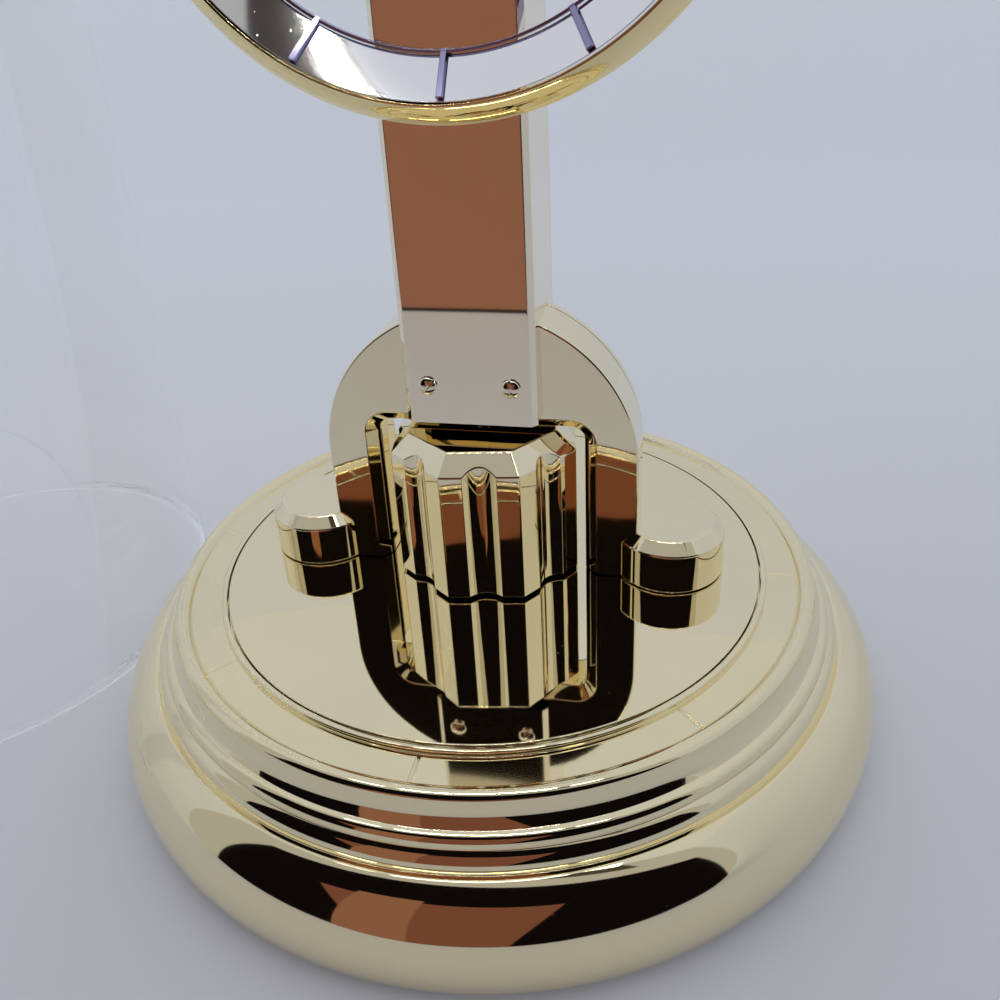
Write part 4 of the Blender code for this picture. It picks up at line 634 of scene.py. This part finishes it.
def body_row(plane, height, normal, lift):
    """One ring of the pendulum: its places, and normals that lean up by the lift."""
    height = np.broadcast_to(height, len(plane))
    lean = np.column_stack([normal * math.sqrt(1.0 - lift * lift), np.full(len(plane), lift)])
    return np.column_stack([plane, height]), lean


share = edge / (top_z - wall_top)
tilted = math.sqrt(0.5)
rows = [
    body_row(body_place - body_normal * edge, foot_z, body_normal, -1.0),
    body_row(body_place, foot_z + edge, body_normal, 0.0),
    body_row(body_place, wall_top - edge, body_normal, 0.0),
    body_row(body_place + (upper - body_place) * share[:, None], wall_top + edge, level, tilted),
    body_row(upper + (body_place - upper) * share[:, None], top_z - edge, level, tilted),
    body_row(upper - level * edge, top_z, level, 1.0),
    body_row(spoke * bore_r, top_z, spoke, 1.0),
    body_row(spoke * bore_r, top_z, -spoke, 0.0),
    body_row(spoke * bore_r, cup_z, -spoke, 0.0),
    body_row(spoke * bore_r, cup_z, spoke, -1.0),
    body_row(spoke * cup_r, cup_z, spoke, -1.0),
    body_row(spoke * cup_r, cup_z, -spoke, 0.0),
    body_row(spoke * cup_r, foot_z, -spoke, 0.0),
    body_row(spoke * cup_r, foot_z, spoke, -1.0)]
body_patch = (np.stack([row[0] for row in rows]), np.stack([row[1] for row in rows]), True, True)
pendulum = skin("pendulum_weight_body", [body_patch], pendulum_gold, "pendulum", "pendulum_body")


# Dial: a silvered cone spun in one with its ridge, a gold bezel round it, and a ring of
# twelve lavender bars standing on a thin lip. It faces forward in front of the pillar.

dial_place = np.array([0.0, dial_y, dial_z])


def on_dial(patch):
    """A surface made round the vertical, turned to face forward at the dial's centre."""
    points, normals = patch
    return forward_facing(points) + dial_place, forward_facing(normals)


silver = polished("dial_silver", (0.93, 0.93, 0.95), 0.05, 0.000012, 0.012, dust=0.6)
cone_line = outline(np.array([(44.4, 0.3), (51.4, 0.3), (51.4, 6.3), (44.4, 0.9)]) / 1000.0, ease=0.0002,
                    fine=1)
cone = skin("dial_cone", [(*on_dial(spun(cone_line, ring_angles(256))), True, True)], silver, "clock",
            "dial_ring")
bezel_gold = polished("bezel_gold", (0.93, 0.78, 0.42), 0.05, 0.00008, 0.010)
bezel_line = outline(np.array([(51.7, 0.3), (55.7, 0.3), (55.7, 2.4), (52.2, 6.3), (51.7, 6.3)]) / 1000.0,
                     bows=[0, 0, -0.0004, 0, 0], ease=0.0002, fine=[1, 1, 10, 1, 1])
bezel = skin("dial_bezel_ring", [(*on_dial(spun(bezel_line, ring_angles(256))), True, True)], bezel_gold,
             "clock", "dial_bezel")

lavender = polished("bar_lavender", (0.34, 0.32, 0.52), 0.12, 0.00001, 0.005)
lip_line = outline(np.array([(43.5, 0.3), (44.1, 0.3), (44.1, 1.5), (43.5, 1.5)]) / 1000.0, ease=0.00015,
                   fine=1)
hour_patches = [(*on_dial(spun(lip_line, ring_angles(256))), True, True)]
cone_slope = np.array([7.0, 0.0, 5.4]) / 1000.0
cone_out = np.array([-5.4, 0.0, 7.0]) / math.hypot(5.4, 7.0)
bar_section = outline(np.array([(-0.75, 0.0), (0.75, 0.0), (0.5, 0.6), (-0.5, 0.6)]) / 1000.0,
                      ease=0.0001, fine=1)
bar_place, bar_normal = bar_section[0], outward(bar_section)
bar_side = np.array([0.0, 1.0, 0.0])
bar_ends = []
for bar_share in (-0.07, 0.93):
    start = np.array([0.0444, 0.0, 0.0009]) + cone_slope * bar_share + cone_out * 0.0003
    bar_ends.append(start + bar_place[:, :1] * bar_side + bar_place[:, 1:] * cone_out)
bar_points = np.stack([np.broadcast_to(bar_ends[0].mean(0), bar_ends[0].shape), bar_ends[0], bar_ends[0],
                       bar_ends[1], bar_ends[1], np.broadcast_to(bar_ends[1].mean(0), bar_ends[1].shape)])
bar_lean = bar_normal[:, :1] * bar_side + bar_normal[:, 1:] * cone_out
bar_way = np.broadcast_to(cone_slope / np.linalg.norm(cone_slope), bar_lean.shape)
bar_normals = np.stack([-bar_way, -bar_way, bar_lean, bar_lean, bar_way, bar_way])
for hour in range(12):
    c, s = math.cos(hour * math.tau / 12.0), math.sin(hour * math.tau / 12.0)
    spin = np.array([[c, -s, 0.0], [s, c, 0.0], [0.0, 0.0, 1.0]])
    hour_patches.append((*on_dial((bar_points @ spin.T, bar_normals @ spin.T)), False, True))
hours = skin("hour_bars_ring", hour_patches, lavender, "clock", "hour_ring")


# Movement drum: a turned gold can behind the dial's centre with a flat cover behind,
# which two small screws and the knurled setting knob pass through.

drum_line = outline(np.array([(2.9, 0.0), (2.9, -1.4), (20.6, -1.4), (20.6, -21.9), (22.0, -21.9),
                              (22.0, 0.0)]) / 1000.0, ease=[0.0002, 0.0002, 0.0004, 0.0002, 0.0003, 0.0008],
                    fine=1)
drum = skin("drum_can", [(*on_dial(spun(drum_line, ring_angles(192))), True, True)], pillar_gold, "clock",
            "movement_drum")
cover_line = outline(np.array([(0.0, -23.6), (22.0, -23.6), (22.0, -22.2), (0.0, -22.2)]) / 1000.0,
                     ease=[0.0, 0.0004, 0.0002, 0.0], closed=False, fine=1)
cover = skin("drum_cover", [(*on_dial(spun(cover_line, ring_angles(192))), False, True)], pillar_gold,
             "clock", "movement_cover")


def grained(name, colour, second, roughness, size, relief, metallic=0.0):
    """A duller surface: two tones mixed by a fine grain, which also raises and roughens it."""
    look = bpy.data.materials.new(name)
    look.use_nodes = True
    tree = look.node_tree
    shader = tree.nodes["Principled BSDF"]
    shader.inputs["Metallic"].default_value = metallic
    place = tree.nodes.new("ShaderNodeTexCoord")
    grain = tree.nodes.new("ShaderNodeTexNoise")
    grain.inputs["Scale"].default_value = 1.0 / size
    grain.inputs["Detail"].default_value = 5.0
    tint = tree.nodes.new("ShaderNodeMix")
    tint.data_type = "RGBA"
    tint.inputs["A"].default_value = (*colour, 1.0)
    tint.inputs["B"].default_value = (*second, 1.0)
    dull = tree.nodes.new("ShaderNodeMapRange")
    dull.inputs["To Min"].default_value = roughness * 0.8
    dull.inputs["To Max"].default_value = min(1.0, roughness * 1.25)
    bump = tree.nodes.new("ShaderNodeBump")
    bump.inputs["Distance"].default_value = relief
    link = tree.links.new
    link(place.outputs["Object"], grain.inputs["Vector"])
    link(grain.outputs["Fac"], tint.inputs["Factor"])
    link(tint.outputs["Result"], shader.inputs["Base Color"])
    link(grain.outputs["Fac"], dull.inputs["Value"])
    link(dull.outputs["Result"], shader.inputs["Roughness"])
    link(grain.outputs["Fac"], bump.inputs["Height"])
    link(bump.outputs["Normal"], shader.inputs["Normal"])
    return look


def dress(look, *names):
    """Gives CAD solids that keep their shape a better finish."""
    for name in names:
        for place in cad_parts[name].material_slots:
            place.link = "OBJECT"
            place.material = look


plastic = grained("moulded_black", (0.012, 0.012, 0.013), (0.022, 0.021, 0.021), 0.42, 0.0006, 0.00002)
knob_line = outline(np.array([(0.0, -28.9), (4.7, -28.9), (5.5, -28.1), (5.5, -24.7), (4.7, -23.9),
                              (0.0, -23.9)]) / 1000.0, ease=[0.0, 0.0002, 0.0002, 0.0002, 0.0002, 0.0],
                    closed=False, fine=[4, 1, 6, 1, 4])
knob_points, knob_normals = spun(knob_line, ring_angles(240))
knob_drop, teeth, tooth_depth = 0.0100, 24.0, 0.035
knurl = 1.0 - tooth_depth * (0.5 + 0.5 * np.cos(teeth * ring_angles(240)))
knob_r = np.hypot(knob_points[..., 0], knob_points[..., 1])
knob_points[..., :2] *= np.where(knob_r > 0.0046, knurl, 1.0)[..., None]
knob_points[..., 1] -= knob_drop
knob = skin("knob_knurled", [(*on_dial((knob_points, knob_normals)), False, True)], plastic, "minute_work",
            "set_knob")
steel = grained("turned_steel", (0.55, 0.54, 0.52), (0.66, 0.65, 0.64), 0.25, 0.0008, 0.00001, 1.0)
dress(steel, "cover_screw_1", "cover_screw_2", "drum_screw_1", "drum_screw_2", "dial_screw_1", "dial_screw_2",
      "centre_post", "pendulum_shaft", "pendulum_weight", "pendulum_magnet", "arch_screw_1", "arch_screw_2",
      "side_foot_screw_1", "side_foot_screw_2", "bottom_screw_1", "bottom_screw_2", "bottom_screw_3",
      "coil_core", "contact_positive", "contact_negative")
dress(plastic, "movement_module")
brass = grained("cut_brass", (0.70, 0.52, 0.24), (0.80, 0.62, 0.32), 0.22, 0.0012, 0.00001, 1.0)
dress(brass, "cannon_pinion", "minute_wheel", "hour_wheel", "hanger_bush", "pivot_bush", "pendulum_plate")


# Hands: two thin black-lacquered blades pressed from sheet, slightly domed, with round
# hubs, held by a small gold cap nut.

lacquer = grained("hand_lacquer", (0.008, 0.008, 0.009), (0.014, 0.013, 0.013), 0.12, 0.002, 0.000004)


def hand_patches(length, bore, low, turn_by):
    """A blade and its hub. The blade's half width grows evenly from tail to its widest place and
    falls to the tip; across, its upper face is a shallow arc. The hub is a flat ring."""
    thick, half, tail, widest = 0.0007, 0.0019, 0.22 * length, 0.55 * length
    along = np.concatenate([np.linspace(-tail, widest, 30), np.linspace(widest, length, 30)[1:]])
    width = np.where(along < widest, half / 2.0 + (half / 2.0) * (along + tail) / (widest + tail),
                     half * np.clip((length - along) / (length - widest), 0.03, 1.0))
    around = ring_angles(32)
    side = np.sign(np.cos(around)) * np.abs(np.cos(around)) ** 0.6
    lift = np.sign(np.sin(around)) * np.abs(np.sin(around)) ** 0.5
    x = width[:, None] * side[None]
    y = np.broadcast_to(along[:, None], x.shape)
    z = low + thick / 2.0 + thick / 2.0 * np.broadcast_to(lift[None], x.shape)
    points = np.stack([x, y, z], -1)
    flat = np.stack([np.cos(around) * 0.25, np.zeros(32), np.sin(around)], -1)
    flat /= np.linalg.norm(flat, axis=1, keepdims=True)
    normals = np.broadcast_to(flat, points.shape).copy()
    ends = [(np.stack([points[e], np.broadcast_to(points[e].mean(0), points[e].shape)]),
             np.array([0.0, d, 0.0]), False, True) for e, d in ((0, -1.0), (-1, 1.0))]
    under, over = low - 0.00005, low + thick + 0.0001
    hub_line = outline([(bore, under), (bore + half, under), (bore + half, over), (bore, over)],
                       ease=0.00012, fine=1)
    patches = [(points, normals, False, True), *ends, (*spun(hub_line, ring_angles(96)), True, True)]
    c, s = math.cos(-turn_by), math.sin(-turn_by)
    spin = np.array([[c, -s, 0.0], [s, c, 0.0], [0.0, 0.0, 1.0]])
    return [(*on_dial((p @ spin.T, n @ spin.T)), u, v) for p, n, u, v in patches]


hour_hand = skin("hour_blade", hand_patches(0.0280, 0.0029, 0.0036, math.radians(-55.0)), lacquer, "hour",
                 "hour_hand")
minute_hand = skin("minute_blade", hand_patches(0.0405, 0.0018, 0.0066, math.radians(60.0)), lacquer,
                   "minute", "minute_hand")
nut_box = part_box("hand_nut")
nut_low, nut_high = dial_y - nut_box[1].y, dial_y - nut_box[0].y
nut_line = outline([(0.0, nut_low), (0.0026, nut_low), (0.0026, nut_high - 0.0006), (0.0012, nut_high),
                    (0.0, nut_high)], bows=[0, 0, -0.0002, 0], ease=[0.0, 0.0001, 0.0002, 0.0003, 0.0],
                   closed=False, fine=[1, 1, 8, 1])
nut = skin("cap_nut", [(*on_dial(spun(nut_line, ring_angles(96))), False, True)], screw_gold, "minute",
           "hand_nut")


# Glass dome: a blown bell with straight sides, a round crown and a ground rim, lifted
# off the clock and stood beside it.

glass = bpy.data.materials.new("dome_clear_glass")
glass.use_nodes = True
tree = glass.node_tree
shader = tree.nodes["Principled BSDF"]
shader.inputs["Base Color"].default_value = (1.0, 1.0, 1.0, 1.0)
shader.inputs["Transmission Weight"].default_value = 1.0
shader.inputs["IOR"].default_value = 1.45
shader.inputs["Specular IOR Level"].default_value = 0.35
place = tree.nodes.new("ShaderNodeTexCoord")
smear = tree.nodes.new("ShaderNodeTexNoise")
smear.inputs["Scale"].default_value = 40.0
smear.inputs["Detail"].default_value = 3.0
film = tree.nodes.new("ShaderNodeMapRange")
film.inputs["To Min"].default_value = 0.0
film.inputs["To Max"].default_value = 0.004
parts = tree.nodes.new("ShaderNodeSeparateXYZ")
clear = tree.nodes.new("ShaderNodeMapRange")
clear.inputs["From Min"].default_value = -0.0012
clear.inputs["From Max"].default_value = 0.0
clear.inputs["To Min"].default_value = 0.75
clear.inputs["To Max"].default_value = 0.12
tree.links.new(place.outputs["Object"], parts.inputs[0])
tree.links.new(parts.outputs["Z"], clear.inputs["Value"])
tree.links.new(clear.outputs["Result"], shader.inputs["Alpha"])
bump = tree.nodes.new("ShaderNodeBump")
bump.inputs["Distance"].default_value = 0.000002
tree.links.new(place.outputs["Object"], smear.inputs["Vector"])
tree.links.new(smear.outputs["Fac"], film.inputs["Value"])
tree.links.new(film.outputs["Result"], shader.inputs["Roughness"])
tree.links.new(smear.outputs["Fac"], bump.inputs["Height"])
tree.links.new(bump.outputs["Normal"], shader.inputs["Normal"])
dome_r, dome_wall, dome_height, dome_centre = 0.0636, 0.0019, 0.2300, (-0.1507, 0.0, -0.0026)
shoulder = dome_height - dome_r
crown = np.linspace(math.pi / 2.0, 0.0, 48)
inner_r = dome_r - dome_wall
inside = np.stack([inner_r * np.cos(crown), shoulder + inner_r * np.sin(crown)], -1)
inside_way = np.stack([np.sin(crown), -np.cos(crown)], -1)
rim_arc = np.linspace(math.pi, math.tau, 13)
rim = np.stack([dome_r - dome_wall / 2.0 + dome_wall / 2.0 * np.cos(rim_arc),
                dome_wall / 2.0 + dome_wall / 2.0 * np.sin(rim_arc)], -1)
rim_way = np.stack([-np.sin(rim_arc), np.cos(rim_arc)], -1)
outside = np.stack([dome_r * np.cos(crown[::-1]), shoulder + dome_r * np.sin(crown[::-1])], -1)
outside_way = np.stack([-np.sin(crown[::-1]), np.cos(crown[::-1])], -1)
dome_line = (np.concatenate([inside, rim, outside]), np.concatenate([inside_way, rim_way, outside_way]))
dome_line[0][[0, -1], 0] = 0.0
dome = skin("dome_blown", [(*spun(dome_line, ring_angles(192), dome_centre), False, True)], glass, "dome",
            "glass_dome")
dome.visible_shadow = False


# Under the base: moulded cover with its battery door, and four stuck-on rubber feet.
# Inside: the tray, cell, board and coil that drive the pendulum, and the lead.

rubber = grained("rubber", (0.02, 0.02, 0.021), (0.035, 0.034, 0.033), 0.75, 0.0007, 0.00004)
for number in range(4):
    low_corner, high_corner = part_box("rubber_foot_%d" % (number + 1))
    middle = (low_corner + high_corner) / 2.0
    pad_r = (high_corner.x - low_corner.x) / 2.0
    pad_line = outline([(0.0, low_corner.z), (pad_r - 0.0006, low_corner.z), (pad_r, low_corner.z + 0.0007),
                        (pad_r, high_corner.z), (0.0, high_corner.z)],
                       ease=[0.0, 0.0003, 0.0003, 0.0001, 0.0], closed=False, fine=1)
    pad_spun = spun(pad_line, ring_angles(64), (middle.x, middle.y, 0.0))
    pad = skin("rubber_pad_%d" % (number + 1), [(*pad_spun, False, True)], rubber, "clock",
               "rubber_foot_%d" % (number + 1))
dress(rubber, "movement_lead")
dress(plastic, "base_chassis", "bottom_cover", "battery_door")
jacket = grained("cell_jacket", (0.05, 0.05, 0.055), (0.09, 0.09, 0.1), 0.3, 0.004, 0.00001, 0.6)
copper = grained("coil_copper", (0.62, 0.28, 0.14), (0.75, 0.38, 0.2), 0.3, 0.0004, 0.00004, 1.0)
board = grained("board_green", (0.02, 0.09, 0.035), (0.035, 0.14, 0.05), 0.4, 0.002, 0.00001)
dress(jacket, "battery_cell")
dress(copper, "drive_coil")
dress(board, "circuit_board")

low_corner, high_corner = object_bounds()
